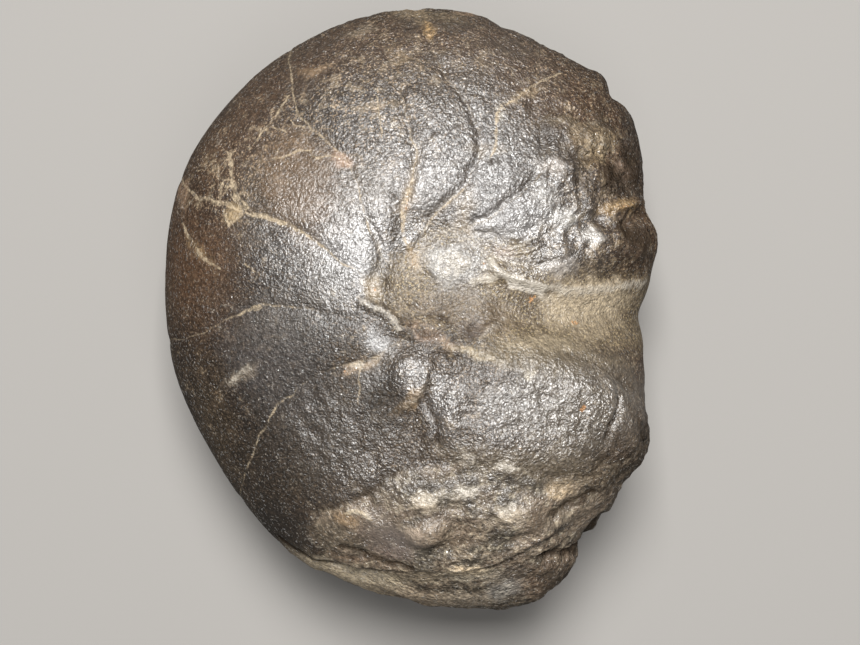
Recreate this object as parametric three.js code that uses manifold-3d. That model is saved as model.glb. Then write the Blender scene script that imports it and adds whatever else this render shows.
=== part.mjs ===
// Fossil nautilus: the stone cast of a coiled, globose nautiloid shell, lying on its side.
//
// The shell itself is gone. What is left is its filling: chambers that swell a little between the grooves of the
// septa, a shallow umbilicus with stone still in it, and at one end the broken living chamber with rough rock on it.
// It is one piece of stone, so it is one solid, worn flat in one small place where it lies.
//
// Units are millimetres. The coil axis is vertical and +Z is up. In plan the whorl grows anticlockwise: its first
// part lies towards +X, and it runs through +Y and -X to the broken end at -Y. The origin is the centre of the
// bounding box, on the ground.
import * as THREE from "three";
import { mergeVertices } from "three/addons/utils/BufferGeometryUtils.js";
import Module from "manifold-3d";

// ---------------------------------------------------------------------------------------------------------------
// Driving dimensions. Angles are in degrees round the coil axis, anticlockwise from +X.

// The outline seen along the coil axis, as [angle, distance from the coil axis].
const OUTLINE = [
  [8, 43.9], [20, 43.5], [34, 48.7], [47, 50.6], [60, 50.2], [70, 50.2], [80, 52.0], [97, 53.0],
  [120, 52.7], [140, 53.2], [160, 54.0], [180, 53.7], [200, 55.4], [220, 57.6], [240, 62.0], [256, 64.5],
  [270, 66.2], [284, 68.4], [293, 68.4], [298, 63.4], [303, 60.4], [311, 56.8], [319, 54.6], [326, 49.4],
  [335, 46.8], [346, 45.2], [356, 44.2],
];
// Chips and knobs on the edge of the cast, as [angle, half-width in degrees, height].
const CHIPS = [
  [50, 3, 1.2], [45, 2, -1.4], [38, 3, 0.7], [8, 3, 0.5], [0, 3, -0.5], [320.5, 2, 1.6],
  [324.5, 2, -1.1], [332, 4, 0.8], [75, 3, -0.9], [309, 3, -0.5], [306, 2, 0.6],
];
const CHIP_REACH = 0.38; // how far up and down the edge a chip reaches, as a share of the half-width

// Half the whorl's width along the coil axis, as [angle, half-width]: the whorl widens as it grows.
const HALF_WIDTHS = [[0, 36.0], [45, 37.0], [90, 38.0], [180, 39.0], [270, 40.0], [320, 39.0], [345, 36.2]];
const AXIS_HALF_WIDTH = 38; // the same at the coil axis, before the umbilicus is sunk
const FLANK_FULLNESS = 0.85; // 1 makes the section an ellipse, less makes its flanks flatter
const REST_HEIGHT = 36.1; // height of the whorl's middle plane above the ground
const UMBILICUS = { radius: 11.5, faceDepth: 6.2, backDepth: 1.6 };

// The septa, first-formed first. Each is a line across the whorl, given by its angle at the shares STATIONS of the
// way out from the coil axis to the edge, and by the depth of its groove. The last four mark off the living chamber
// and the trough where it met the whorl before, where no septum shows.
const STATIONS = [0.12, 0.25, 0.38, 0.52, 0.7, 1.0];
const SEPTA = [
  { angles: [48, 32, 18, 25, 36, 44], groove: 1.5 },
  { angles: [62, 44, 40, 45, 58, 66], groove: 1.9 },
  { angles: [112, 83, 71, 72, 88, 95], groove: 2.0 },
  { angles: [134, 117, 103, 102, 103, 105], groove: 1.5 },
  { angles: [185, 153, 137, 132, 132, 124], groove: 0.9 },
  { angles: [212, 190, 170, 162, 162, 160], groove: 0.7 },
  { angles: [240, 222, 204, 193, 193, 196], groove: 0.6 },
  { angles: [262, 243, 231, 223, 221, 228], groove: 0.7 },
  { angles: [288, 272, 262, 258, 255, 256], groove: 0.4 },
  { angles: [312, 298, 288, 284, 282, 282], groove: 0 },
  { angles: [334, 322, 314, 310, 308, 308], groove: 0 },
  { angles: [352, 345, 345, 346, 347, 348], groove: 0 },
  { angles: [378, 368, 361, 364, 371, 376], groove: 1.0 },
];
const GROOVE_REACH = 3.2; // how far a groove's side slopes, across the septum
const BACK_GROOVE = 0.6; // the back is more worn, so its grooves keep this share of their depth

// The trough on the face, from the umbilicus out to the edge, in plan from the coil axis.
const TROUGH = { path: [[13, -8], [22, -9], [32, -9], [46, -9]], halfWidth: 6, faceDepth: 4.4, backDepth: 2.2 };

// Swellings (height above 0) and hollows of the face: centre in plan from the coil axis, half-lengths, and the
// direction of the longer one in degrees.
const FACE_MOUNDS = [
  { name: "knob in the umbilicus", x: 3, y: 1.2, long: 6.2, across: 4.4, turn: 10, height: 2.6 },
  { name: "ridge above the trough", x: 15, y: -0.8, long: 9, across: 2.2, turn: -12, height: 1.4 },
  { name: "cast of the living chamber", x: 16, y: -25, long: 20, across: 8.5, turn: -4, height: 2.9 },
  { name: "its outer shoulder", x: 36, y: -30, long: 9, across: 3.5, turn: 72, height: 1.6 },
  { name: "small boss by the seam", x: -5, y: -19.5, long: 5, across: 4, turn: 60, height: 1.3 },
  { name: "crease below the boss", x: 0, y: -27, long: 7, across: 2.6, turn: 95, height: -1.8 },
  { name: "crease under the living chamber", x: 14, y: -34, long: 14, across: 2.4, turn: -10, height: -1.5 },
  { name: "rock lump, left", x: -17, y: -48, long: 7, across: 4.5, turn: 15, height: 1.4 },
  { name: "rock lump, middle", x: -2, y: -44, long: 8, across: 5, turn: 25, height: 1.7 },
  { name: "hollow between the lumps", x: -8, y: -52, long: 8, across: 3, turn: -5, height: -1.1 },
  { name: "rock lump, right", x: 14, y: -45, long: 8, across: 6, turn: -30, height: 1.6 },
  { name: "rib by the first chambers", x: 27, y: 12, long: 9, across: 2.2, turn: 62, height: 1.3 },
  { name: "second rib", x: 32, y: 8, long: 9, across: 2.2, turn: 66, height: 1.2 },
  { name: "bank over the trough", x: 31, y: 4, long: 11, across: 3.0, turn: 12, height: 1.5 },
  { name: "hollow on the first whorl", x: 33, y: 20, long: 8, across: 5, turn: 60, height: -1.0 },
];
// The same for the back, seen through from the face, so that x and y keep their meaning.
const BACK_MOUNDS = [
  { name: "worn cast of the living chamber", x: 17, y: -30, long: 18, across: 9, turn: -8, height: 1.6 },
  { name: "rock lump, back left", x: -14, y: -52, long: 8, across: 5, turn: 20, height: 1.5 },
  { name: "rock lump, back right", x: 14, y: -52, long: 9, across: 5, turn: -20, height: 1.8 },
  { name: "hollow by the break", x: 2, y: -44, long: 9, across: 4, turn: 0, height: -1.3 },
  { name: "hollow on the first whorl, back", x: 31, y: 14, long: 9, across: 5, turn: 50, height: -1.2 },
  { name: "spall on the venter", x: -38, y: 24, long: 9, across: 5, turn: 130, height: -1.0 },
];

// The broken end: outside this line, as [angle, distance from the coil axis], the rock steps down to a lower layer.
const LEDGE = [[244, 61.8], [250, 59], [258, 58], [269, 56], [280, 56], [285, 55], [291, 53], [296, 50.6], [301, 50.2], [307, 52], [311, 55]];
const LEDGE_STEP = 1.7;
const LEDGE_CRACK = { depth: 0.9, halfWidth: 2.6 };

// Rough rock at the broken end: waves of this height and length, faded in round the angle where the break is.
const ROUGH = { height: 0.6, wavelength: 12, from: 238, to: 330 };

// The grid of the solid: rows run out from the coil axis over the edge and back to it, columns lie along the septa.
const ROWS = 46;
const COLUMNS_PER_CHAMBER = 7;

// ---------------------------------------------------------------------------------------------------------------
// Curves

const radians = THREE.MathUtils.degToRad;
const lerp = THREE.MathUtils.lerp;
const smoothstep = (x, from, to) => THREE.MathUtils.smoothstep(x, from, to);

// A smooth curve through [x, y] pairs sorted by x, level beyond its ends: on each stretch a cubic whose slopes at
// both ends are those of the chords between the neighbours.
function smoothThrough(pairs) {
  const last = pairs.length - 1;
  const slope = (i) => {
    const before = pairs[Math.max(i - 1, 0)];
    const after = pairs[Math.min(i + 1, last)];
    return (after[1] - before[1]) / (after[0] - before[0]);
  };
  return (x) => {
    if (x <= pairs[0][0]) return pairs[0][1];
    if (x >= pairs[last][0]) return pairs[last][1];
    const i = pairs.findIndex((pair) => pair[0] > x) - 1;
    const gap = pairs[i + 1][0] - pairs[i][0];
    const u = (x - pairs[i][0]) / gap;
    const v = 1 - u;
    const straight = pairs[i][1] * (1 + 2 * u) * v * v + pairs[i + 1][1] * (1 + 2 * v) * u * u;
    return straight + gap * u * v * (slope(i) * v - slope(i + 1) * u);
  };
}

// The same through [angle, y] pairs, closed round the coil axis.
function smoothRound(pairs) {
  const turned = (turns) => pairs.map(([angle, y]) => [angle + 360 * turns, y]);
  const curve = smoothThrough([...turned(-1), ...pairs, ...turned(1)]);
  return (angle) => curve(((angle % 360) + 360) % 360);
}

const smoothOutline = smoothRound(OUTLINE);
const halfWidthAt = smoothRound(HALF_WIDTHS);
const ledgeAt = smoothThrough(LEDGE);
const septumCurves = SEPTA.map(({ angles }) => smoothThrough(STATIONS.map((station, i) => [station, angles[i]])));

// How far apart two directions are, in degrees, from -180 to 180.
const turnBetween = (angle, from) => ((angle - from + 540) % 360) - 180;

// ---------------------------------------------------------------------------------------------------------------
// The smooth body

// Where a column lies at the share `out` of the way from the coil axis to the edge: its angle, how far it is from the
// nearest septum in degrees, and that septum's groove.
function columnAt(column, out) {
  const chamber = Math.floor(column / COLUMNS_PER_CHAMBER);
  const share = (column % COLUMNS_PER_CHAMBER) / COLUMNS_PER_CHAMBER;
  const next = (chamber + 1) % SEPTA.length;
  const start = septumCurves[chamber](out);
  const end = septumCurves[next](out) + (next === 0 ? 360 : 0);
  return {
    angle: lerp(start, end, share),
    fromSeptum: Math.min(share, 1 - share) * (end - start),
    groove: SEPTA[share < 0.5 ? chamber : next].groove,
  };
}

// A point of the body before its relief. `turn` runs from 0 at the axis on the face to pi at the axis on the back.
function bodyPoint(angle, turn) {
  const out = Math.sin(turn);
  const up = Math.cos(turn);
  const side = Math.sign(up) * Math.abs(up) ** FLANK_FULLNESS;
  const chips = CHIPS.reduce((sum, [at, halfWidth, height]) => sum + height * Math.exp(-((turnBetween(angle, at) / halfWidth) ** 2)), 0);
  const radius = out * (smoothOutline(angle) + chips * Math.exp(-((side / CHIP_REACH) ** 2)));
  const halfWidth = lerp(AXIS_HALF_WIDTH, halfWidthAt(angle), smoothstep(out, 0, 0.5));
  const umbilicusDepth = up > 0 ? UMBILICUS.faceDepth : UMBILICUS.backDepth;
  const umbilicus = umbilicusDepth * Math.exp(-((radius / UMBILICUS.radius) ** 2)) * Math.sign(up);
  const z = halfWidth * side - umbilicus;
  return new THREE.Vector3(radius * Math.cos(radians(angle)), radius * Math.sin(radians(angle)), z);
}

// ---------------------------------------------------------------------------------------------------------------
// Relief: each function gives a height along the outward normal, in millimetres

// The grooves of the septa: a sharp valley with the chambers swelling up on both sides of it.
function septumGroove(column, point, out, face) {
  const { fromSeptum, groove } = column;
  const across = radians(fromSeptum) * Math.hypot(point.x, point.y);
  const start = lerp(smoothstep(out, 0.45, 0.75), smoothstep(out, 0.12, 0.26), face);
  const towardsEdge = lerp(1, 0.45, smoothstep(out, 0.5, 0.95));
  return -groove * lerp(BACK_GROOVE, 1, face) * start * towardsEdge * Math.exp(-across / GROOVE_REACH);
}

function mound(point, { x, y, long, across, turn, height }) {
  const dx = point.x - x;
  const dy = point.y - y;
  const c = Math.cos(radians(turn));
  const s = Math.sin(radians(turn));
  return height * Math.exp(-(((dx * c + dy * s) / long) ** 2) - ((dy * c - dx * s) / across) ** 2);
}

const moundsAt = (point, mounds) => mounds.reduce((sum, each) => sum + mound(point, each), 0);

// The distance in plan from a point to a path of straight runs.
function distanceToPath(point, path) {
  const here = new THREE.Vector2(point.x, point.y);
  const runs = path.slice(1).map((end, i) => {
    const from = new THREE.Vector2(...path[i]);
    const run = new THREE.Vector2(...end).sub(from);
    const share = THREE.MathUtils.clamp(here.clone().sub(from).dot(run) / run.lengthSq(), 0, 1);
    return here.distanceTo(from.addScaledVector(run, share));
  });
  return Math.min(...runs);
}

function troughAt(point, face) {
  const depth = lerp(TROUGH.backDepth, TROUGH.faceDepth, face);
  return -depth * Math.exp(-((distanceToPath(point, TROUGH.path) / TROUGH.halfWidth) ** 2));
}

// The step down to the lower layer at the broken end, with a crack along it.
function ledgeStep(point, angle) {
  const beyond = Math.hypot(point.x, point.y) - ledgeAt(angle);
  const present = smoothstep(angle, 241, 248) * (1 - smoothstep(angle, 306, 316));
  const crack = LEDGE_CRACK.depth * Math.exp(-((beyond / LEDGE_CRACK.halfWidth) ** 2));
  return -present * (LEDGE_STEP * smoothstep(beyond, -3, 2) + crack);
}

// Broken rock: three crossing waves that never line up.
function roughness(point, angle) {
  const present = smoothstep(angle, ROUGH.from, ROUGH.from + 20) * (1 - smoothstep(angle, ROUGH.to - 15, ROUGH.to));
  const outward = smoothstep(Math.hypot(point.x, point.y), 26, 40);
  const k = (2 * Math.PI) / ROUGH.wavelength;
  const a = Math.sin(k * (0.9 * point.x + 0.5 * point.y) + 1.3);
  const b = Math.sin(k * (0.8 * point.y - 0.4 * point.x + 0.7 * point.z));
  const c = Math.sin(k * (1.3 * point.z + 0.6 * point.x) + 2.1);
  return ROUGH.height * present * outward * (a + b + c) / 1.7;
}

// All the relief at a point. `face` is 1 on the upper side, 0 on the back, and passes from one to the other at the edge.
function reliefAt(column, point, turn) {
  const face = smoothstep(Math.cos(turn), -0.12, 0.12);
  const angle = ((column.angle % 360) + 360) % 360;
  return (
    septumGroove(column, point, Math.sin(turn), face) +
    troughAt(point, face) +
    face * (moundsAt(point, FACE_MOUNDS) + smoothstep(Math.cos(turn), 0, 0.3) * ledgeStep(point, angle)) +
    (1 - face) * moundsAt(point, BACK_MOUNDS) +
    roughness(point, angle)
  );
}

// ---------------------------------------------------------------------------------------------------------------
// The solid

// The two triangles of a four-sided patch, split along its shorter diagonal.
function squareFaces(points, a, b, c, d) {
  const splitAC = points[a].distanceTo(points[c]) < points[b].distanceTo(points[d]);
  return splitAC ? [a, b, c, a, c, d] : [a, b, d, b, c, d];
}

// Joins rings of points into a closed surface: a fan at each pole and a band of patches between rings.
function closedSurface(topPole, rings, bottomPole) {
  const count = rings[0].length;
  const points = [topPole, ...rings.flat(), bottomPole];
  const at = (ring, i) => 1 + ring * count + (i % count);
  const faces = [];
  for (let i = 0; i < count; i++) {
    faces.push(0, at(0, i), at(0, i + 1));
    for (let ring = 0; ring + 1 < rings.length; ring++) {
      faces.push(...squareFaces(points, at(ring, i), at(ring + 1, i), at(ring + 1, i + 1), at(ring, i + 1)));
    }
    faces.push(at(rings.length - 1, i), points.length - 1, at(rings.length - 1, i + 1));
  }
  const surface = new THREE.BufferGeometry().setFromPoints(points).setIndex(faces);
  surface.computeVertexNormals();
  return surface;
}

// The whole cast before it is worn flat: the smooth body, with each point moved along its normal by the relief.
function castGeometry() {
  const columns = [...Array(SEPTA.length * COLUMNS_PER_CHAMBER).keys()];
  const turns = [...Array(ROWS - 1).keys()].map((row) => (Math.PI * (row + 1)) / ROWS);
  const places = turns.map((turn) => columns.map((column) => ({ turn, column: columnAt(column, Math.sin(turn)) })));
  const rings = places.map((ring) => ring.map(({ turn, column }) => bodyPoint(column.angle, turn)));
  const surface = closedSurface(bodyPoint(0, 0), rings, bodyPoint(0, Math.PI));
  const position = surface.getAttribute("position");
  const normal = surface.getAttribute("normal");
  const point = new THREE.Vector3();
  const outward = new THREE.Vector3();
  places.flat().forEach(({ turn, column }, i) => {
    point.fromBufferAttribute(position, i + 1);
    outward.fromBufferAttribute(normal, i + 1);
    point.addScaledVector(outward, reliefAt(column, point.clone(), turn));
    position.setXYZ(i + 1, point.x, point.y, point.z);
  });
  position.setZ(0, position.getZ(0) + moundsAt(point.set(0, 0, 0), FACE_MOUNDS));
  return surface;
}

const wasm = await Module();
wasm.setup();

function toSolid(geometry) {
  const shape = geometry.clone();
  shape.deleteAttribute("normal");
  shape.deleteAttribute("uv");
  const merged = mergeVertices(shape, 1e-4);
  return new wasm.Manifold(
    new wasm.Mesh({
      numProp: 3,
      vertProperties: new Float32Array(merged.getAttribute("position").array),
      triVerts: new Uint32Array(merged.index.array),
    }),
  );
}

function toGeometry(solid) {
  const mesh = solid.getMesh();
  const geometry = new THREE.BufferGeometry();
  geometry.setAttribute("position", new THREE.BufferAttribute(new Float32Array(mesh.vertProperties), 3));
  geometry.setIndex(new THREE.BufferAttribute(new Uint32Array(mesh.triVerts), 1));
  geometry.computeVertexNormals();
  return geometry;
}

// The flat that the cast rests on is worn off level, REST_HEIGHT below the middle plane.
function wornFlat(solid) {
  const size = 200;
  const ground = new THREE.BoxGeometry(size, size, size);
  ground.translate(0, 0, -REST_HEIGHT - size / 2);
  return solid.subtract(toSolid(ground));
}

const stone = new THREE.MeshStandardMaterial({ color: 0x5b524a, roughness: 0.5, metalness: 0 });
const fossil = new THREE.Mesh(toGeometry(wornFlat(toSolid(castGeometry()))), stone);
fossil.name = "fossil_nautilus";

// Stand it on the ground with the centre of its bounding box over the origin.
fossil.geometry.computeBoundingBox();
const centre = fossil.geometry.boundingBox.getCenter(new THREE.Vector3());
fossil.position.set(-centre.x, -centre.y, REST_HEIGHT);

const part = new THREE.Group();
part.add(fossil);

export default part;
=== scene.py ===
"""Fossil nautilus: the stone cast of a coiled nautiloid shell, lying on its side.

Unless a name or comment says otherwise, sizes are millimetres and angles are degrees round the coil axis,
anticlockwise from +X. Plan places are measured from the coil axis. Meshes are written in metres.
"""

import bpy
import numpy as np
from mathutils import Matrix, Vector


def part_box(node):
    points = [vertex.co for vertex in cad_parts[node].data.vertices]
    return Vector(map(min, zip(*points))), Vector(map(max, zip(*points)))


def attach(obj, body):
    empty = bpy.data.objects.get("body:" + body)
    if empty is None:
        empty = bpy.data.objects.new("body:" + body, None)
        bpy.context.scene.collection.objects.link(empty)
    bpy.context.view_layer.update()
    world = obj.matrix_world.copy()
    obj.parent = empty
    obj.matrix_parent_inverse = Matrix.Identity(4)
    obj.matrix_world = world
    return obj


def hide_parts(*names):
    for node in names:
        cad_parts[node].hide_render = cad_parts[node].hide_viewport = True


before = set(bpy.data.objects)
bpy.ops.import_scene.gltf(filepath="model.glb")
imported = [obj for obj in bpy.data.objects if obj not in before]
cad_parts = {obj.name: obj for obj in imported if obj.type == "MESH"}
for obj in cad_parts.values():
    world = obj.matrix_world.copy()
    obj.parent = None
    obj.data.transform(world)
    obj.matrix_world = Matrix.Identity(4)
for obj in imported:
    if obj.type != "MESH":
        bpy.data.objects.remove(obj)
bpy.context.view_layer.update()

MM = 0.001
NODE = "fossil_nautilus"
BOX = np.array(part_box(NODE)) / MM
REST_HEIGHT = 36.1  # height of the whorl's middle plane above the ground

# ------------------------------------------------------------------------------------------------------
# The form of the cast

# The edge seen from above: angle and distance from the coil axis.
OUTLINE = [
    (8, 43.4), (20, 42.4), (34, 48.2), (47, 50.4), (60, 50.2), (70, 50.5), (80, 51.9), (97, 52.8),
    (120, 53.2), (140, 53.8), (160, 54.8), (180, 54.5), (200, 56.3), (220, 58.3), (240, 62.9), (256, 65.3),
    (270, 66.3), (284, 68.1), (291, 66.6), (298, 61.5), (303, 59.4), (311, 55.6), (319, 53.4), (326, 47.2),
    (335, 44.7), (346, 44.6), (356, 43.4),
]
# Chips and knobs on the edge: angle, half-width in degrees, height.
CHIPS = [
    (50, 2.4, 1.2), (45, 1.8, -1.4), (38, 3, 0.7), (8, 3, 0.5), (0, 3, -0.5), (320.5, 1.6, 1.7),
    (324.5, 2, -1.1), (332, 4, 0.8), (75, 3, -0.9), (309, 2.6, -0.6), (306, 1.6, 0.7), (298.5, 1.4, -0.5),
]
CHIP_REACH = 0.38  # how far up and down the edge a chip goes, as a share of the half-width
# Half the whorl's thickness: angle and half-width.
HALF_WIDTHS = [(0, 36.0), (45, 37.0), (90, 38.0), (180, 39.0), (270, 40.0), (320, 39.0), (345, 36.2)]
AXIS_HALF_WIDTH = 38
# How the half-width grows from the edge to the middle, as a power: the smaller, the flatter the flank and the
# steeper the edge. For the face, angle and power.
BACK_FULLNESS = 0.85
FACE_FULLNESS = [
    (0, 0.82), (60, 0.76), (120, 0.77), (200, 0.85), (236, 0.83), (260, 0.62), (285, 0.54), (330, 0.52),
    (350, 0.75),
]
# Hollows round the axis: radius and depth.
UMBILICUS_FACE = (10.8, 3.4)
UMBILICUS_BACK = (11.5, 1.6)

# The places and sizes of all features below are laid out this many times smaller than on the finished cast.
FEATURE_SCALE = 1.0163

# The septa and the lines that part off the living chamber: angles at the stations, depth of the groove, and
# how plain its pale line is at the stations, which are shares of the way out from the coil axis to the edge.
STATIONS = [0.12, 0.25, 0.38, 0.52, 0.7, 0.85, 1.0]
SEPTA = [
    ([53, 33, 21, 23, 36, 40.6, 44], 0.6, [0, 0.2, 0.1, 0.1, 0.2, 0.1, 0]),
    ([62, 46, 41.5, 44, 58, 62.7, 66], 1.1, [0.8, 0.5, 0.3, 0.3, 0.2, 0.1, 0]),
    ([112, 78, 70.5, 73, 88, 92.3, 95], 1.1, [0.8, 0.7, 0.3, 0.3, 0.4, 0.2, 0]),
    ([146, 117, 102, 102, 102.5, 103.7, 105], 0.9, [1, 2.2, 0.8, 0.35, 0.3, 0.15, 0]),
    ([185, 153, 135, 130.5, 132, 128, 123], 0.5, [0, 0.5, 0.5, 0.6, 0.9, 0.75, 0.6]),
    ([212, 187, 170.5, 164.2, 163.4, 163.2, 160], 0.7, [0, 0.3, 0.9, 1.8, 2.3, 1.9, 0.9]),
    ([240, 222, 203.5, 194, 193.3, 195.4, 194.3], 0.6, [0, 0.1, 0.1, 0.5, 1.1, 0.45, 0.4]),
    ([262, 243, 230, 221.8, 221.3, 225.2, 229.5], 0.7, [0, 0.4, 0.5, 0.15, 0.9, 0.8, 0.7]),
    ([288, 272, 262, 258, 255, 255.2, 256], 0.4, [0, 0, 0, 0, 0, 0, 0]),
    ([312, 298, 288, 284, 282, 281.8, 282], 0.0, [0, 0, 0, 0, 0, 0, 0]),
    ([334, 322, 314, 310, 308, 307.8, 308], 0.0, [0, 0, 0, 0, 0, 0, 0]),
    ([352, 345, 345, 346, 347, 347.5, 348], 0.0, [0, 0, 0, 0, 0, 0, 0]),
    ([378, 368, 361, 364, 371, 373.8, 376], 1.0, [0, 0, 0, 0, 0, 0, 0]),
]
BACK_GROOVE = 0.6  # depth of the grooves on the back, as a share of those on the face
GROOVE_REACH = (3.0, 2.0)  # how far a groove's slopes go, on its anticlockwise and its clockwise side
GROOVE_SHARES = (0.45, 0.36)  # of the depth: what the sloping valley takes, and what its narrow middle takes
MUDDY_SIDE = ((125, 150), (250, 275))  # where mud fills the inner ends of the grooves: fades in, fades out

# The trough from the umbilicus to the edge.
TROUGH = [(13, -8), (22, -9), (32, -9), (46, -9)]
TROUGH_HALF_WIDTH = 5.2
TROUGH_DEPTHS = (2.2, 3.2)  # on the back and on the face

# Swellings and hollows: x, y, half-length, half-width, turn of the length, height.
FACE_MOUNDS = [
    (36, -30, 9, 3.5, 72, 1.6),
    (15, -0.8, 9, 2.2, -12, 1.2),  # bank above the trough
    (-17, -48, 7, 4.5, 15, 1.2),  # lumps of rock on the broken end
    (-2, -44, 8, 5, 25, 1.2),
    (-9, -51, 5, 3, -5, -0.5),
    (2.5, -51.0, 4.5, 1.5, 25, -0.9),
    (14, -45, 8, 6, -30, 1.4),
    (27, 12, 9, 2.2, 62, 1.0),
    (32, 8, 9, 2.2, 66, 0.9),
    (31, 4, 11, 3.0, 12, 1.3),
    (33, 14, 13, 12, 0, 1.8),
    (33, 20, 8, 5, 60, -1.0),
    (29, -24, 9, 7, 60, 1.6),
    (16, -33.5, 18, 4.5, -6, 0.9),
    (-1.5, -15.2, 6, 1.8, -18, -0.8),
    (-4.2, -28.5, 2.6, 4.2, 0, -1.0),  # dark hollow under the boss
    (1.8, -17.8, 3.4, 2.2, -15, -0.7),
    # knobs, dimples and short ridges
    (20.3, 20.0, 1.7, 1.4, 0, 0.8),
    (23.1, 18.2, 2.3, 1.5, 20, 0.8),
    (29.2, 17.9, 1.8, 1.5, 0, 0.8),
    (34.9, 19.1, 1.6, 1.4, 0, 0.9),
    (29.5, 23.9, 3.4, 2.0, 30, 0.8),
    (33.5, 11.5, 3.6, 1.9, 10, 0.8),
    (18.9, 17.0, 1.0, 2.4, 0, 0.5),
    (27.4, 27.8, 2.3, 1.7, 10, -1.1),
    (22.1, 29.2, 1.9, 1.5, 0, -0.8),
    (28.8, 14.0, 1.5, 2.6, 0, -1.0),
    (20.5, 23.9, 1.6, 1.3, 0, -0.7),
    (26.4, 20.6, 1.8, 1.3, 0, -0.8),
    (33.5, 27.0, 2.4, 1.8, -30, -0.8),
    (2.6, -25.4, 4.8, 2.0, 88, 1.0),
    (-10.2, -3.0, 1.2, 1.0, 60, 0.7),
    (-5.1, 4.4, 1.5, 1.2, 30, 0.6),
    (-2.9, 6.6, 1.4, 1.0, 40, 0.4),
    (12.2, -36.6, 3.0, 1.4, -15, 0.8),
    (-1.6, -41.2, 3.2, 1.8, 10, 0.7),
    (5.3, -40.3, 2.4, 1.6, 0, 0.5),
    (18.6, -36.1, 0.9, 0.7, 0, -0.6),
    (15.3, -45.0, 3.2, 2.0, 30, 0.5),
    (27.5, -38.5, 4.0, 1.8, 10, 0.8),
    (0.8, -9.4, 1.5, 0.7, -12, -0.4),
    (6.4, -10.6, 2.4, 2.0, 10, -0.8),
    (10.2, -10.4, 1.9, 1.2, 35, 0.5),
    (-1.5, -11.8, 1.2, 0.8, 0, -0.6),
    (-4.0, -9.0, 1.4, 1.0, 0, -0.2),
    (23.3, 8.9, 1.7, 1.4, 60, 1.1),
    (28.9, 5.3, 2.0, 1.5, 50, 1.2),
    (22.3, 1.8, 4.0, 2.3, 12, 1.2),
    (24.5, 18.5, 3.0, 1.4, 60, 0.8),
    (30.5, 15.0, 2.4, 1.6, 80, 0.7),
    (34.0, 12.0, 3.0, 1.6, 10, 0.8),
    (36.0, 3.0, 3.6, 1.6, 20, 0.7),
]
BACK_MOUNDS = [
    (17, -30, 18, 9, -8, 1.6),
    (-14, -52, 8, 5, 20, 1.5),
    (14, -52, 9, 5, -20, 1.8),
    (2, -44, 9, 4, 0, -1.3),
    (31, 14, 9, 5, 50, -1.2),
    (-38, 24, 9, 5, 130, -1.0),
]
# Swellings of the face with flatter tops.
DOMES = [
    (17.5, -26.2, 20.8, 11.5, -5, 1.7),  # cast of the living chamber
    (-1.5, -48.5, 3.7, 2.5, 25, 2.2),
    (3.4, 0.6, 5.7, 4.1, -8, 1.3),  # knob in the umbilicus
    (-4.2, -19.2, 4.4, 4.2, 60, 1.5),  # boss by the seam
]
KNOBBLY_CORNER = (31, 14, 15, 14, 50, 1.0)

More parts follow.
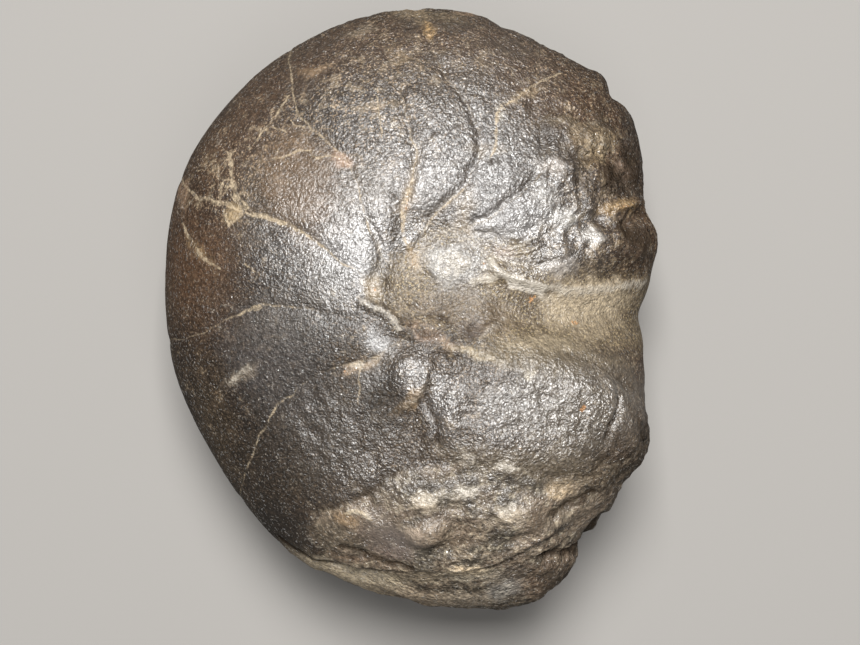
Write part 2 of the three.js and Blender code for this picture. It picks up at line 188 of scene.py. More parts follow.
# Narrow ridges (height above 0) and creases: half-width, height, how pale (below 0: how dark, as dirt and
# painted shade), path.
RIDGES = [
    (0.85, 0.75, 0.8, [(-13.4, -6.5), (-11.1, -7.3), (-9.0, -8.4), (-7.8, -10.2), (-6.6, -11.3)]),
    (0.9, 0.6, 0.1, [(-5.4, -11.4), (-0.8, -14.5), (3.2, -15.4)]),
    (0.5, 0.3, 0.75, [(2.4, -14.0), (3.2, -14.7), (5.5, -15.4), (8.1, -15.9), (10.2, -16.4), (12.5, -17.1)]),
    (0.75, 0.8, 1.2, [(10.0, 1.4), (10.5, 0.2), (11.5, -1.0), (12.9, -2.0), (16.8, -2.9), (19.6, -3.8)]),
    (0.7, -0.5, 0.5, [(-12.7, 9.0), (-10.7, 4.9), (-9.8, 1.7), (-11.1, -1.6), (-11.9, -4.5)]),
    (0.9, 0.6, 1.0, [(6.5, -2.9), (7.9, -2.4), (11.3, -1.6)]),
    (1.1, 0.45, 0.6, [(8.1, -12.8), (9.0, -11.2), (10.6, -10.4), (12.9, -8.7)]),
    (0.4, 0.45, 0.7, [(12.8, 3.4), (15.8, 4.3), (18.6, 5.9)]),
    (0.4, 0.4, 0.6, [(13.8, 2.4), (16.8, 3.2), (18.8, 4.2)]),
    (0.5, 0.4, 0.5, [(14.0, 5.2), (17.0, 6.0), (19.0, 7.4)]),
    (0.6, 0.7, 0.3, [(26.4, 15.7), (26.4, 11.5)]),
    (0.6, 0.7, 0.3, [(24.1, 14.9), (24.0, 10.5)]),
    (0.4, -0.35, -0.5, [
        (7.5, 6.4), (11.1, 5.7), (13.7, 4.8), (15.3, 4.5), (18.4, 4.8), (21.0, 7.4), (23.3, 11.6),
    ]),
    (0.8, -0.7, -0.5, [(22.7, -15.6), (25.0, -16.5), (28.0, -17.4), (31.1, -19.4), (33.3, -22.1)]),
    (0.7, -0.6, -0.8, [
        (-17.9, -51.7), (-15.7, -52.5), (-13.4, -53.7), (-10.1, -55.1), (-7.7, -55.6), (-4.7, -55.8),
    ]),
    (0.5, 0.3, 0.6, [(-24.4, -49.7), (-22.9, -51.0), (-21.7, -53.0)]),
    (0.4, 0.45, 1.2, [(-16.4, -44.9), (-14.9, -44.7), (-13.3, -45.0), (-12.3, -45.9)]),
    (0.9, -0.8, -0.8, [(21.0, -45.3), (23.6, -44.2), (26.0, -42.9), (29.0, -41.4)]),
    (0.5, -0.6, -0.5, [(14.6, -35.2), (18.5, -37.4), (19.6, -38.0), (25.1, -37.3), (28.6, -38.6)]),
    (0.8, -0.6, -0.15, [(-12.2, -62.0), (-8.0, -63.6), (-4.3, -64.8)]),
    # partly a pale band, partly a painted highlight along the trough's upper side
    (1.3, 0.4, 0.8, [(20.7, -3.7), (27.0, -4.2), (34.0, -3.5), (40.0, -2.5)]),
    (0.5, -1.2, -0.9, [(31.7, -24.6), (31.5, -25.8), (31.4, -26.9), (30.5, -28.4), (30.0, -30.9)]),
    (0.6, -1.0, -0.7, [(35.3, -29.1), (37.6, -31.6), (38.6, -33.4)]),
    (0.9, -1.8, -1.2, [
        (20.8, -54.6), (24.7, -53.9), (28.0, -53.2), (29.3, -50.8), (30.2, -49.0), (32.0, -47.3),
    ]),
    (0.5, -0.5, -0.6, [(-2.8, 22.5), (-0.6, 24.9)]),
    (0.5, -0.9, -0.8, [(-1.2, -19.7), (-2.2, -22.7), (-1.7, -24.8), (-0.2, -28.8), (0.1, -32.2)]),
    (0.8, 0.6, 0.6, [(-6.3, -25.6), (-4.0, -23.7), (-2.2, -21.8), (-1.2, -19.9)]),
    (0.6, 0.4, 0.7, [(2.9, -56.3), (7.0, -55.8)]),
    (0.85, 0.2, 0.8, [(-39.2, -21.4), (-37.7, -20.9), (-36.0, -19.2), (-34.4, -18.4)]),
]

# The filling of the umbilicus and the trough: an oval, a band, patches beside them that it also covers, and
# gaps in it. Ovals and patches have the numbers of a swelling, with a strength in place of the height.
FILLING_OVAL = (0.5, -2.0, 12.0, 9.6, -8, 1.0)
FILLING_BAND = [(10, -6.5), (24, -8.0), (46, -8.5)]
FILLING_BAND_HALF_WIDTH = 7.4
FILLING_EXTRAS = [
    (11.8, 2.8, 4.4, 3.4, -10, 0.8),
    (7.0, 5.2, 7.0, 2.2, 0, 0.9),
    (15.5, 3.0, 3.0, 1.6, -20, 0.6),
]
FILLING_GAPS = [
    (-5.5, 4.8, 2.8, 1.7, 30, 0.6),
    (-9.0, 2.5, 1.6, 2.4, 0, 0.5),
]

# Patches of the finish: x, y, half-length, half-width, turn of the length, strength.
# Where it is rubbed or encrusted pale; one patch on the broken end is partly a painted highlight.
PALE_PATCHES = [
    (-12.2, -16.4, 4.2, 1.0, 24, 0.3),
    (-13.9, -20.5, 3.0, 0.6, 88, 0.4),
    (3.2, 0.5, 5.0, 3.5, -8, 0.75),
    (-15.0, -18.0, 1.5, 1.1, 0, 0.7),
    (11.4, 28.5, 1.4, 2.4, 0, 0.6),
    (12.2, -36.3, 3.0, 1.2, -15, 0.9),
    # partly pale crust, partly a painted highlight
    (-1.6, -41.2, 3.6, 1.6, 10, 0.7),
    (5.3, -40.3, 2.2, 1.4, 0, 0.6),
    (12.9, -43.0, 2.4, 1.3, 30, 0.9),
    (19.0, -41.5, 3.4, 2.0, 30, 0.5),
    (-5.5, -38.6, 2.6, 1.4, 20, 0.5),
    (-16.0, -58.0, 10.0, 2.2, -21, 0.6),
    (13.0, -60.9, 3.2, 2.2, -60, 0.6),
    (29.6, 23.2, 4.6, 1.6, -22, 0.45),
    (29.4, 27.6, 2.6, 1.4, -35, 0.45),
    (-42.0, 24.7, 0.9, 1.6, 20, 0.9),
    (-49.2, 13.0, 1.2, 4.5, 8, 0.45),
    (23.3, 8.9, 1.6, 1.1, 60, 0.7),
    (27.9, 5.0, 1.8, 1.2, 30, 0.6),
    (21.0, 1.7, 3.2, 1.0, 12, 0.5),
    (26.0, -8.0, 9.0, 3.4, -6, 0.3),
    (19.0, -6.0, 4.0, 1.6, -10, 0.2),
    (13.0, 1.2, 4.0, 1.6, -10, 0.6),
    (5.3, -41.5, 4.5, 3.0, 0, 0.4),
    (5.6, -34.2, 3.4, 2.2, -10, 0.55),
    (13.1, -34.3, 2.8, 1.6, -10, 0.45),
    (15.5, -40.5, 2.0, 1.1, 10, 0.4),
]
# Small rusty spots.
RUST_SPOTS = [
    (27.1, -9.5, 1.0, 0.6, -20, 1.1),
    (25.5, -25.3, 0.6, 1.0, -20, 1.2),
    (8.6, 0.6, 0.6, 0.5, 0, 0.9),
    (4.7, -5.4, 1.0, 0.6, 0, 0.6),
    (18.1, -5.2, 0.9, 1.1, 0, 0.9),
    (-4.2, 1.0, 1.0, 1.2, 30, 0.7),
    (-11.4, -3.9, 0.8, 0.8, 0, 0.7),
    (-16.5, -19.2, 1.2, 0.8, 0, 0.8),
    (14.0, -32.1, 0.9, 0.5, 0, 0.7),
    (-5.5, 12.0, 0.8, 3.4, 4, 0.7),
    (32.8, 10.8, 3.0, 1.2, -10, 0.6),
    (21.5, -12.5, 1.2, 0.6, 0, 0.5),
]
# Warm brown areas, near the edge.
BROWN_STAINS = [
    (-46, 1, 10, 15, 5, 1.0),
    (-38, 26, 16, 8, 50, 0.7),
    (-12, 42, 24, 7, 6, 0.8),
    (22, 34, 16, 8, -35, 0.9),
    (36, 14, 8, 16, 0, 0.8),
    (38, -22, 7, 14, 0, 0.6),
    (-24, -52, 10, 6, -40, 0.3),
]
# Where dried mud clings in blotches.
TAN_AREAS = [
    (-40, 17, 9, 9, 40, 0.5),
    (-26, 26, 14, 7, 40, 0.5),
    (-10, 33, 9, 14, 0, 0.7),
    (6, 40, 14, 6, 0, 0.6),
    (26, 30, 14, 8, -40, 0.5),
    (30, 12, 6, 12, 0, 0.4),
    (33, -22, 6, 10, 0, 0.7),
    (18, -24, 16, 8, -5, 0.3),
]
# Stains of other colours, and some painted highlights, sheen and shade: the same numbers, and the colour in
# 8-bit sRGB.
PLUM = (72, 61, 57)
BUFF = (170, 157, 137)
SAND = (168, 148, 120)
OLIVE = (124, 111, 90)
UMBER = (78, 63, 50)
SOOT = (37, 33, 29)
DRAB = (174, 160, 136)
STAINS_AND_PAINTED_LIGHT = [
    (-16.5, -46.2, 2.8, 1.6, -10, 0.8, (128, 106, 80)),
    (-19.5, -49.6, 4.8, 2.4, -10, 0.7, (82, 72, 59)),
    (-10.8, -46.4, 3.0, 2.4, 0, 0.8, (100, 90, 80)),
    (17.2, -45.4, 2.8, 2.4, 0, 0.9, (80, 68, 55)),
    (19.5, -57.5, 3.4, 2.0, 0, 0.6, (60, 51, 42)),
    (-6.0, -62.6, 8.0, 1.6, -12, 0.9, (134, 120, 102)),
    (6.0, -63.8, 6.0, 1.6, 0, 0.8, (126, 115, 100)),
    (18.5, -13.8, 8.0, 1.8, 0, 0.6, (140, 128, 107)),
    (-14.0, -50.5, 4.0, 1.6, -10, 0.6, (84, 72, 58)),
    (-9.2, -51.2, 5.0, 3.2, -20, 1.1, PLUM),
    (-18.8, -58.7, 10.0, 2.6, -20, 0.9, DRAB),
    (-17.0, -54.2, 6.0, 0.9, -8, 0.7, UMBER),
    (22.6, -40.8, 3.0, 2.0, 20, 0.8, SAND),
    (5.4, -55.8, 2.1, 0.8, -8, 1.0, SAND),
    (12.6, -61.4, 3.8, 2.0, 10, 0.6, (106, 104, 100)),
    (21.2, -60.0, 6.0, 4.5, 20, 0.6, UMBER),
    (28.2, -46.0, 6.0, 3.0, 38, 0.6, (92, 81, 69)),
    (-1.5, -48.2, 3.4, 2.2, 25, 0.8, (106, 92, 78)),
    (12.9, -44.2, 2.6, 2.0, 0, 0.6, BUFF),
    (-1.8, -41.6, 3.2, 2.0, 20, 0.7, BUFF),
    (29.8, 23.9, 3.6, 3.2, 30, 0.7, OLIVE),
    (21.8, 27.9, 2.4, 1.4, 20, 0.5, OLIVE),
    (-2.3, 49.1, 9.0, 2.2, -4, 0.5, OLIVE),
    (6.5, -10.6, 2.6, 2.0, 0, 0.8, (80, 72, 69)),
    (-1.0, -12.6, 5.5, 1.6, -22, 0.6, (110, 92, 78)),
    # partly pale, partly a painted highlight on the trough's upper side
    (30.0, -5.0, 9.0, 3.4, 4, 0.8, (152, 139, 118)),
    (25.0, -25.0, 12.0, 10.5, -5, 0.7, (82, 73, 59)),
    (32.5, -25.0, 3.0, 8.0, -10, 0.7, (62, 53, 42)),
    (18.0, -16.5, 14.0, 2.2, -4, 0.7, (104, 93, 74)),
    (3.2, 0.5, 5.3, 3.7, -8, 1.1, (156, 155, 153)),
    (15.5, -2.6, 5.5, 1.0, -24, 1.0, (186, 180, 170)),
    (9.0, -8.0, 7.5, 3.0, -8, 0.8, (84, 72, 59)),
    (16.5, 32.4, 5.0, 1.2, 32, 0.8, (132, 114, 90)),
    (27.0, 26.5, 4.2, 1.5, -35, 0.7, (110, 96, 76)),
    (38.5, 24.0, 3.5, 9.0, -8, 0.8, (38, 34, 31)),
    (24.5, 21.5, 2.4, 5.0, 20, 0.5, (50, 44, 38)),
    (-2.0, -7.6, 5.0, 2.4, -25, 0.4, (80, 68, 56)),
    (-9.5, -24.5, 4.0, 6.5, 0, 0.6, (40, 37, 33)),
    (12.0, 21.0, 15.0, 11.0, -35, 0.4, (58, 56, 55)),
    (16.0, -35.5, 18.0, 3.2, -8, 0.7, (100, 89, 72)),
    (-4.2, -23.6, 3.8, 1.0, 42, 0.8, (140, 118, 90)),
    (6.5, -15.5, 5.0, 0.8, -16, 0.7, (150, 135, 106)),
    (16.0, -19.0, 0.9, 0.7, 0, 1.2, (205, 196, 178)),
    (-44.0, 2.0, 6.0, 9.0, 5, 0.5, (64, 48, 35)),
    (-24.0, -32.0, 14.0, 20.0, -42, 0.6, SOOT),
    (-36.6, -19.9, 4.0, 1.0, 33, 0.5, (132, 119, 101)),
    (-15.2, -18.3, 2.2, 1.1, 20, 0.9, (142, 124, 104)),
    (-12.4, -16.8, 3.0, 0.8, 33, 0.5, (132, 116, 96)),
    (-48.9, 14.6, 1.2, 4.2, 8, 0.8, (112, 92, 74)),
    (-37.8, 10.2, 2.4, 1.4, 60, 0.9, (138, 120, 92)),
    (-44.8, 3.4, 3.4, 0.8, -46, 0.7, (120, 102, 76)),
    (-5.3, 11.7, 1.2, 3.4, -8, 0.8, (112, 92, 66)),
    (5.2, 10.2, 1.4, 3.6, -10, 0.9, (126, 110, 86)),
    (-4.4, 2.4, 1.4, 3.2, 20, 0.6, (128, 106, 72)),
    (-11.4, -3.8, 1.6, 2.4, 10, 0.6, (124, 106, 76)),
    (12.0, 2.4, 2.0, 1.2, -10, 0.5, (150, 132, 120)),
    # lighter grey where the chambers are polished: partly a painted sheen
    (8.5, 14.0, 10.0, 7.5, 40, 0.5, (104, 102, 101)),
    (13.6, 7.8, 7.0, 3.4, 20, 0.8, (124, 122, 121)),
    (-14.8, 3.0, 6.0, 8.0, 0, 0.5, (88, 86, 84)),
    # painted highlight: a silver patch between two septa
    (-10.8, -13.4, 2.2, 1.4, -35, 0.8, (140, 139, 138)),
    (4.5, -6.5, 6.5, 4.0, -10, 0.8, (64, 54, 42)),
    (29.0, -9.5, 12.0, 3.6, 0, 0.5, (134, 122, 102)),
    (13.7, -24.2, 6.5, 5.0, 0, 0.6, (104, 101, 97)),
    (22.0, 0.0, 3.6, 2.6, 10, 0.6, (146, 140, 134)),
    (-3.1, 14.5, 4.0, 5.5, 0, 0.6, (112, 109, 106)),
    (-11.4, 14.0, 4.5, 5.0, 0, 0.5, (104, 99, 93)),
    (-17.3, 19.4, 1.8, 1.2, -30, 0.9, (150, 122, 100)),
    (9.0, 21.6, 3.4, 0.8, 0, 0.8, (128, 114, 94)),
    # painted shade on the lower right flank
    (30.5, -34.8, 4.5, 4.0, -30, 0.9, (48, 41, 34)),
    (14.0, 41.5, 5.0, 3.0, -20, 0.7, (48, 39, 31)),
    (-29.2, -49.6, 5.4, 4.2, -40, 1.1, (25, 22, 19)),
    (-27.0, -9.0, 9.0, 6.0, -10, 0.5, (62, 58, 54)),
    (-20.0, 0.5, 7.0, 5.0, 0, 0.5, (72, 69, 66)),
    (-24.0, 18.0, 8.0, 9.0, 30, 0.4, (70, 58, 46)),
    (31.0, 27.0, 3.0, 2.4, 0, 0.6, (44, 37, 31)),
    (20.2, 23.6, 2.4, 1.6, 0, 0.6, (48, 42, 37)),
    # pale knob, partly a painted highlight
    (20.6, 18.4, 2.2, 1.3, -20, 1.2, (160, 150, 140)),
    (34.5, 19.2, 1.5, 1.2, 0, 1.4, (164, 140, 122)),
    # pale knobs, partly painted highlights
    (22.3, 8.9, 1.8, 1.5, 0, 1.2, (160, 157, 152)),
    (27.3, 5.5, 2.0, 1.5, 0, 1.2, (160, 156, 150)),
    (19.6, 12.8, 2.0, 2.0, 0, 1.0, (150, 148, 144)),
    (25.6, 24.0, 1.8, 1.2, 60, 0.8, (128, 108, 80)),
    (31.6, 25.3, 2.4, 1.2, 0, 0.8, (118, 102, 78)),
    (-32.0, -17.0, 13.0, 8.0, -40, 0.6, (62, 59, 58)),
    (-26.0, 15.0, 8.0, 12.0, 10, 0.5, (92, 71, 49)),
    # painted highlight on the dome of the broken end
    (-3.2, -47.8, 1.1, 0.6, 20, 1.2, (198, 178, 158)),
    (-1.0, -45.2, 3.0, 1.0, 20, 0.8, (70, 60, 52)),
    (14.6, -57.6, 3.2, 1.8, 15, 1.2, (60, 53, 46)),
    (5.6, -56.5, 3.2, 1.5, -5, 1.1, (176, 158, 130)),
    (24.3, -60.1, 4.0, 3.6, 0, 1.4, (46, 40, 34)),
    (30.8, -50.1, 3.0, 3.0, 0, 0.8, (50, 43, 36)),
    (-12.4, -59.4, 6.0, 2.0, -12, 0.9, (158, 145, 122)),
    (-3.6, -58.0, 5.0, 2.0, 0, 0.9, (134, 121, 102)),
    (6.5, -58.0, 5.0, 2.4, 0, 0.9, (140, 131, 115)),
    (0.0, -48.5, 5.0, 3.0, 0, 0.5, (104, 92, 78)),
    (33.0, 16.0, 4.0, 2.6, 0, 0.8, (42, 37, 32)),
    (35.6, 5.4, 4.0, 3.6, 0, 0.8, (58, 48, 39)),
    (32.0, 11.2, 3.2, 1.6, 10, 0.9, (140, 116, 82)),
    (27.6, 23.4, 3.6, 1.6, -40, 0.9, (124, 108, 84)),
    (28.5, 20.2, 3.2, 1.2, 30, 0.8, (130, 112, 86)),
    (-5.3, 46.5, 2.6, 1.8, 0, 0.8, (48, 39, 32)),
    (3.6, 46.4, 4.0, 1.8, 0, 0.8, (46, 38, 31)),
    (0.4, 39.4, 3.0, 1.6, 0, 0.7, (50, 42, 34)),
    (-21.5, 42.6, 5.0, 2.4, 30, 0.6, (52, 42, 34)),
    (-25.7, 34.8, 4.0, 3.0, 0, 0.6, (50, 40, 32)),
    (-1.7, 45.6, 0.9, 2.0, 15, 1.0, (138, 113, 78)),
    (-4.1, 50.3, 3.0, 1.0, 0, 0.9, (124, 108, 86)),
    (6.3, 50.3, 3.0, 1.0, 0, 0.8, (122, 100, 80)),
    (-14.2, 45.6, 3.4, 2.0, 20, 0.8, (116, 104, 88)),
    (-7.0, 39.8, 2.6, 2.6, 0, 0.6, (116, 100, 78)),
    (-22.6, 37.5, 3.6, 1.0, 20, 0.7, (118, 98, 76)),
    (-10.0, -50.5, 5.0, 3.0, -10, 0.5, (84, 74, 64)),
    # painted shade on the lower right flank
    (38.0, -32.0, 6.0, 13.0, -25, 1.0, (50, 43, 37)),
    (38.0, 22.0, 4.0, 12.0, -8, 0.6, SOOT),
]
# Dark patches, most of them in hollows; the two beside the dome on the broken end are its painted shadow.
DARK_PATCHES = [
    (0.2, -9.4, 2.4, 0.7, -14, 0.75),
    (-1.5, -11.8, 2.0, 1.0, -20, 0.45),
    (-4.0, -9.0, 1.6, 1.1, 0, 0.35),
    (26.4, -42.8, 2.6, 1.0, 35, 0.8),
    (31.0, 18.0, 3.0, 1.6, 60, 0.8),
    (36.0, 20.0, 2.4, 4.0, 10, 0.7),
    (33.5, 6.5, 3.0, 1.2, -20, 0.7),
    (38.0, 5.0, 3.0, 2.0, 30, 0.6),
    (18.6, -36.1, 1.0, 0.7, 0, 0.7),
    (-2.0, -33.5, 3.4, 1.8, 60, 0.5),
    (28.1, 20.2, 2.8, 1.3, 10, 0.65),
    (22.1, 28.9, 1.9, 1.6, 0, 0.55),
    (19.8, 25.2, 1.3, 2.4, 20, 0.6),
    (25.0, 27.6, 1.6, 1.0, 30, 0.4),
    (32.8, 16.8, 2.8, 2.4, 0, 0.5),
    (30.5, 28.6, 2.6, 1.6, -30, 0.5),
    (25.2, 16.4, 1.0, 2.2, 10, 0.5),
    (24.6, 11.8, 0.9, 2.0, 10, 0.45),
    (29.4, 8.4, 1.6, 1.0, 20, 0.45),
    (33.6, 6.0, 2.2, 1.6, 0, 0.4),
    (10.4, 19.4, 1.4, 0.9, -30, 0.7),
    (-7.6, 6.8, 1.0, 3.0, 12, 0.6),
    (-8.2, 12.6, 1.0, 3.0, 8, 0.5),
    (5.8, -11.2, 2.6, 1.6, 30, 0.6),
    (11.0, -44.6, 2.4, 1.0, -20, 0.6),
    (24.8, -60.6, 3.6, 3.0, 0, 0.5),
    # painted shadow at the lower right of the dome on the broken end
    (2.6, -47.0, 2.4, 0.9, 70, 0.45),
    (3.4, -50.8, 3.0, 0.9, 20, 0.6),
]
# Where the broken end is worn smooth.
SMOOTH_AREAS = [
    (-8.2, -50.5, 6.0, 4.2, 0, 1.0),
    (-18, -48.0, 8, 4.5, 10, 0.7),
    (-18, -58.0, 12, 3.5, -20, 1.0),
    (28, -46.0, 7, 4.0, 40, 0.7),
    (-1.5, -48.5, 4.5, 3.2, 25, 0.8),
]
# Where the skin lies in low folds.
CRUMPLED_AREAS = [
    (17, -26, 20, 9, -4, 1.0),
    (-16, -33, 14, 8, -33, 1.2),
    (0, 44, 42, 11, 0, 0.9),
    (27, 30, 12, 10, 0, 0.8),
    (32, -30, 8, 10, 0, 0.9),
]
# Where the skin's grain is coarse.
COARSE_AREAS = [
    (12, -36, 24, 7, 0, 0.8),
    (3.6, 0.6, 5, 3.6, -8, 0.9),
    (10, 26, 27, 20, 0, 1.0),
    (4, 45, 40, 12, 0, 0.8),
    (-16, -33, 14, 9, -33, 1.0),
    (19, -24, 20, 10, -5, 1.0),
    (31, -30, 8, 10, 0, 0.9),
    (-4, -20, 6, 6, 0, 0.6),
    (31, 14, 14, 14, 0, 0.5),
]
# Where the skin is polished, or below 0 duller.
POLISHED_AREAS = [
    (12, -37, 22, 6, 0, 0.45),
    (3.2, 0.5, 5.8, 4.1, -8, 1.0),
    (8.7, 15.0, 12.0, 9.0, 40, 0.45),
    (13.6, 7.6, 8.0, 4.5, 20, 0.7),
    (-14.8, 2.0, 7.0, 9.0, 0, 0.55),
    (-11.0, -13.4, 3.2, 2.4, -30, 0.6),
    (13.5, -26.0, 7.0, 5.4, 0, 0.6),
    (-11.5, -20.5, 3.0, 2.6, 0, 0.35),
    (-11.0, 7.2, 3.4, 4.0, 0, 0.4),
    (-3.0, 23.0, 12.0, 6.5, 0, 0.22),
    (5.3, 20.7, 4.4, 4.0, 0, 0.45),
    (0.5, 27.8, 8.0, 3.6, 0, 0.22),
    (-16.0, -7.0, 7.5, 4.0, 0, 0.28),
    (-3.5, 17.0, 6.0, 8.0, 0, 0.35),
    (30.5, -34.8, 4.0, 4.0, 0, -0.3),
    (-24.0, 4.0, 12.0, 8.0, 0, 0.2),
    (-26.0, 17.0, 9.0, 11.0, 0, -0.2),
    (20.0, 17.8, 3.0, 2.4, -20, 0.7),
    (22.3, 8.9, 2.0, 1.8, 0, 0.7),
    (26.8, 5.3, 1.8, 1.5, 0, 0.3),
    (19.6, 12.8, 2.4, 2.4, 0, 0.4),
    (-0.2, -24.6, 2.6, 4.4, 0, 0.6),
    (13.5, -0.1, 6.0, 2.2, -10, 0.9),
    (-4.0, -19.8, 4.2, 4.2, 0, 0.5),
    (23.0, 34.0, 12.0, 10.0, -40, -0.3),
    (31.0, -35.0, 8.0, 7.0, -30, -0.4),
    (33.0, 19.0, 6.0, 7.0, 0, -0.6),
    (35.6, 5.4, 5.0, 5.0, 0, -0.5),
    (5.0, -49.5, 8.0, 3.5, 0, -0.4),
    (16.5, -2.5, 7.0, 1.8, -22, 0.8),
    (27, -24, 12, 9, -8, 0.55),
    (30.0, -30.0, 7.0, 9.0, -10, 0.25),
    (12.0, -33.5, 14.0, 4.5, -5, 0.3),
    (14, 30, 12, 13, 40, 0.4),
    (-4.2, 5.6, 3.4, 3.0, 30, 0.7),
    (-2, 17, 32, 17, -20, 0.65),
    (10, 26, 20, 17, 0, 0.45),
    (4, 42, 30, 9, 0, 0.25),
    (-20, 3, 16, 16, 0, 0.5),
    (16, -24, 19, 9, -4, 0.75),
    (-5, -19.5, 6, 5, 0, 0.8),
    (1.6, -25.0, 3, 5.5, 0, 0.8),
    (-30, 10, 9, 16, 20, 0.3),
    (21, 6, 12, 8, 20, 0.9),
    (-7, -49.9, 5, 3.2, -5, 0.8),
    (20, -9, 22, 5, -4, 0.4),
    (-16, -33, 13, 8, -33, 0.8),
    (-9.0, -22.5, 3.0, 4.5, 0, -0.6),
    (26, -26, 9, 8, 0, 0.5),
    (2, -46, 24, 8, 0, 0.4),
]
BACK_POLISH = 0.35

# The broken end: its rock begins outside ROCK_EDGE, and a lower layer of it outside LEDGE.
LEDGE = [
    (-31.0, -51.5), (-27.1, -54.0), (-24.2, -55.6), (-21.1, -56.5), (-17.7, -56.8), (-14.4, -57.6),
    (-12.5, -57.4), (-7.2, -57.2), (0.3, -57.0), (4.4, -56.6), (8.1, -56.2), (11.8, -55.6), (14.4, -53.6),
    (16.9, -52.4), (19.9, -50.6), (22.8, -49.0), (26.0, -47.4), (30.0, -45.5), (36.0, -43.2),
]
LEDGE_RANGE = ((234, 239), (306, 314))  # the angles over which it fades in and out
LEDGE_STEP = 1.7
LEDGE_CRACK = 1.8  # how deep the crack along a crisp ledge is
# How crisp the ledge is: angle and share.
LEDGE_CRISPNESS = [(236, 1), (256.5, 1), (259, 0.25), (277, 0.25), (281, 1), (294, 1), (297, 0.1), (310, 0.1)]
# Angles over which the rock fades: in and out on the back, its right end on the face, and its left part.
# Then the angles where the left part's lower layer starts, and the radii where the rock on the back does.
ROCK_RANGE_ON_BACK = ((244, 252), (322, 332))
ROCK_FADE_ON_FACE = (322, 330)
LEFT_PART_FADE = (258, 266)
LOWER_LEFT_START = (239.5, 242)
ROCK_RADIUS_ON_BACK = (36, 42)
SMOOTH_LAYER_FADE = (284, 292)  # where the lower layer stops being smoother than the rest
# Where the rock ends on the left: radius and angle.
ROCK_SIDE = [(40, 241.4), (49, 242.6), (53, 244.6), (57, 247.6), (66, 249)]
ROCK_EDGE = [
    (-24.0, -45.8), (-18.5, -43.7), (-12.6, -41.6), (-9.6, -38.2), (-6.7, -36.7), (-1.6, -36.3),
    (3.1, -35.2), (8.5, -34.4), (12.9, -34.8), (18.5, -37.2), (20.0, -38.8), (24.2, -38.2), (28.7, -36.2),
    (32.8, -35.1),
]

# Pale veins beside the septa: half-width, path.
VEINS = [
    (0.45, [(-36.5, -8.6), (-34.3, -7.5), (-32.2, -6.9)]),
    (0.8, [(-38.9, 21.5), (-38.3, 18.6), (-38.0, 15.4), (-37.3, 13.7), (-36.3, 12.3), (-35.0, 11.1)]),
    (1.3, [(-37.6, 13.0), (-36.0, 11.4)]),
    (0.4, [(-35.0, 11.0), (-38.5, 7.9), (-39.8, 11.1)]),
    (0.5, [(-40.0, 15.8), (-40.5, 13.8), (-40.5, 12.1)]),
    (0.25, [(-43.6, 18.8), (-42.1, 20.7), (-41.3, 19.7)]),
    (0.25, [(-45.5, 18.8), (-44.6, 18.9)]),
    (0.35, [(-48.2, 8.8), (-47.3, 6.5), (-45.2, 4.4), (-44.1, 2.7), (-42.2, 1.0), (-40.6, 0.1)]),
    (0.25, [(-46.4, 4.2), (-45.4, 2.9), (-43.6, 1.6)]),
    (0.30, [
        (-30.0, 20.2), (-28.3, 20.5), (-26.7, 21.0), (-25.3, 21.6), (-23.2, 21.6), (-23.0, 20.4),
        (-21.8, 19.9), (-19.6, 20.5), (-16.8, 19.7),
    ]),
    (0.25, [(-29.4, 21.6), (-28.8, 20.5)]),
    (0.15, [(-35.1, 0.5), (-32.8, -0.9)]),
    (0.22, [(-13.7, -17.8), (-14.3, -20.2), (-14.0, -22.0), (-14.3, -24.2)]),
    (0.30, [(-27.9, 32.1), (-28.8, 30.7), (-30.3, 28.2), (-31.6, 26.9), (-32.7, 25.4), (-33.6, 23.7)]),
    (0.25, [(-31.2, 26.5), (-28.2, 25.5)]),
    (0.25, [(-27.2, 27.6), (-26.3, 26.4), (-24.4, 26.1)]),
    (0.25, [(-11.1, 31.3), (-10.1, 24.1)]),
    (0.35, [
        (11.6, 29.4), (13.1, 30.5), (14.4, 31.0), (15.8, 32.5), (17.4, 33.8), (19.0, 35.0), (21.0, 36.0),
        (23.2, 37.0),
    ]),
    (0.45, [(12.2, 29.9), (11.0, 28.4), (10.7, 22.3), (9.7, 20.0)]),
    (0.7, [(-16.4, -44.9), (-14.9, -44.7), (-13.3, -45.0), (-12.3, -45.9)]),
]

TOP_ROWS = 132
BACK_ROWS = 76
COLUMNS_PER_CHAMBER = 36
CROWDING = 0.5  # how much the columns crowd towards the septa

# Seeds of the noises.
WAVE_SEED = 3
FINE_SEED = 5
SEPTUM_SEED = 11
SWAY_SEEDS = (21, 22)

# Heights of the noise in the surface.
ROCK_HEIGHT = 0.8
FOLD_HEIGHT = 0.34
KNOB_HEIGHT = 0.75
SKIN_HEIGHT = 0.05
COARSE_SKIN_HEIGHT = 0.12  # what coarse skin adds to that
BROAD_HEIGHT = 0.16
WANDER = 0.35  # how far lines stray from their paths, where the noise is 1
FAR = 50.0  # farther away than any line matters


def smoothstep(x, low, high):
    """0 up to `low`, 1 from `high` on, and 3 t^2 - 2 t^3 between, where t is the share of the way."""
    t = np.clip((x - low) / (high - low), 0, 1)
    return t * t * (3 - 2 * t)


def window(x, rise, fall):
    """1 between two limits, with smooth flanks: it rises across the pair `rise` and falls across `fall`."""
    return smoothstep(x, *rise) * (1 - smoothstep(x, *fall))


def blend(a, b, share):
    """a where the share is 0, b where it is 1, and straight between."""
    return a * (1 - share) + b * share


def bell(distance, width):
    """exp(-(distance / width) ** 2)."""
    return np.exp(-(distance / width) ** 2)


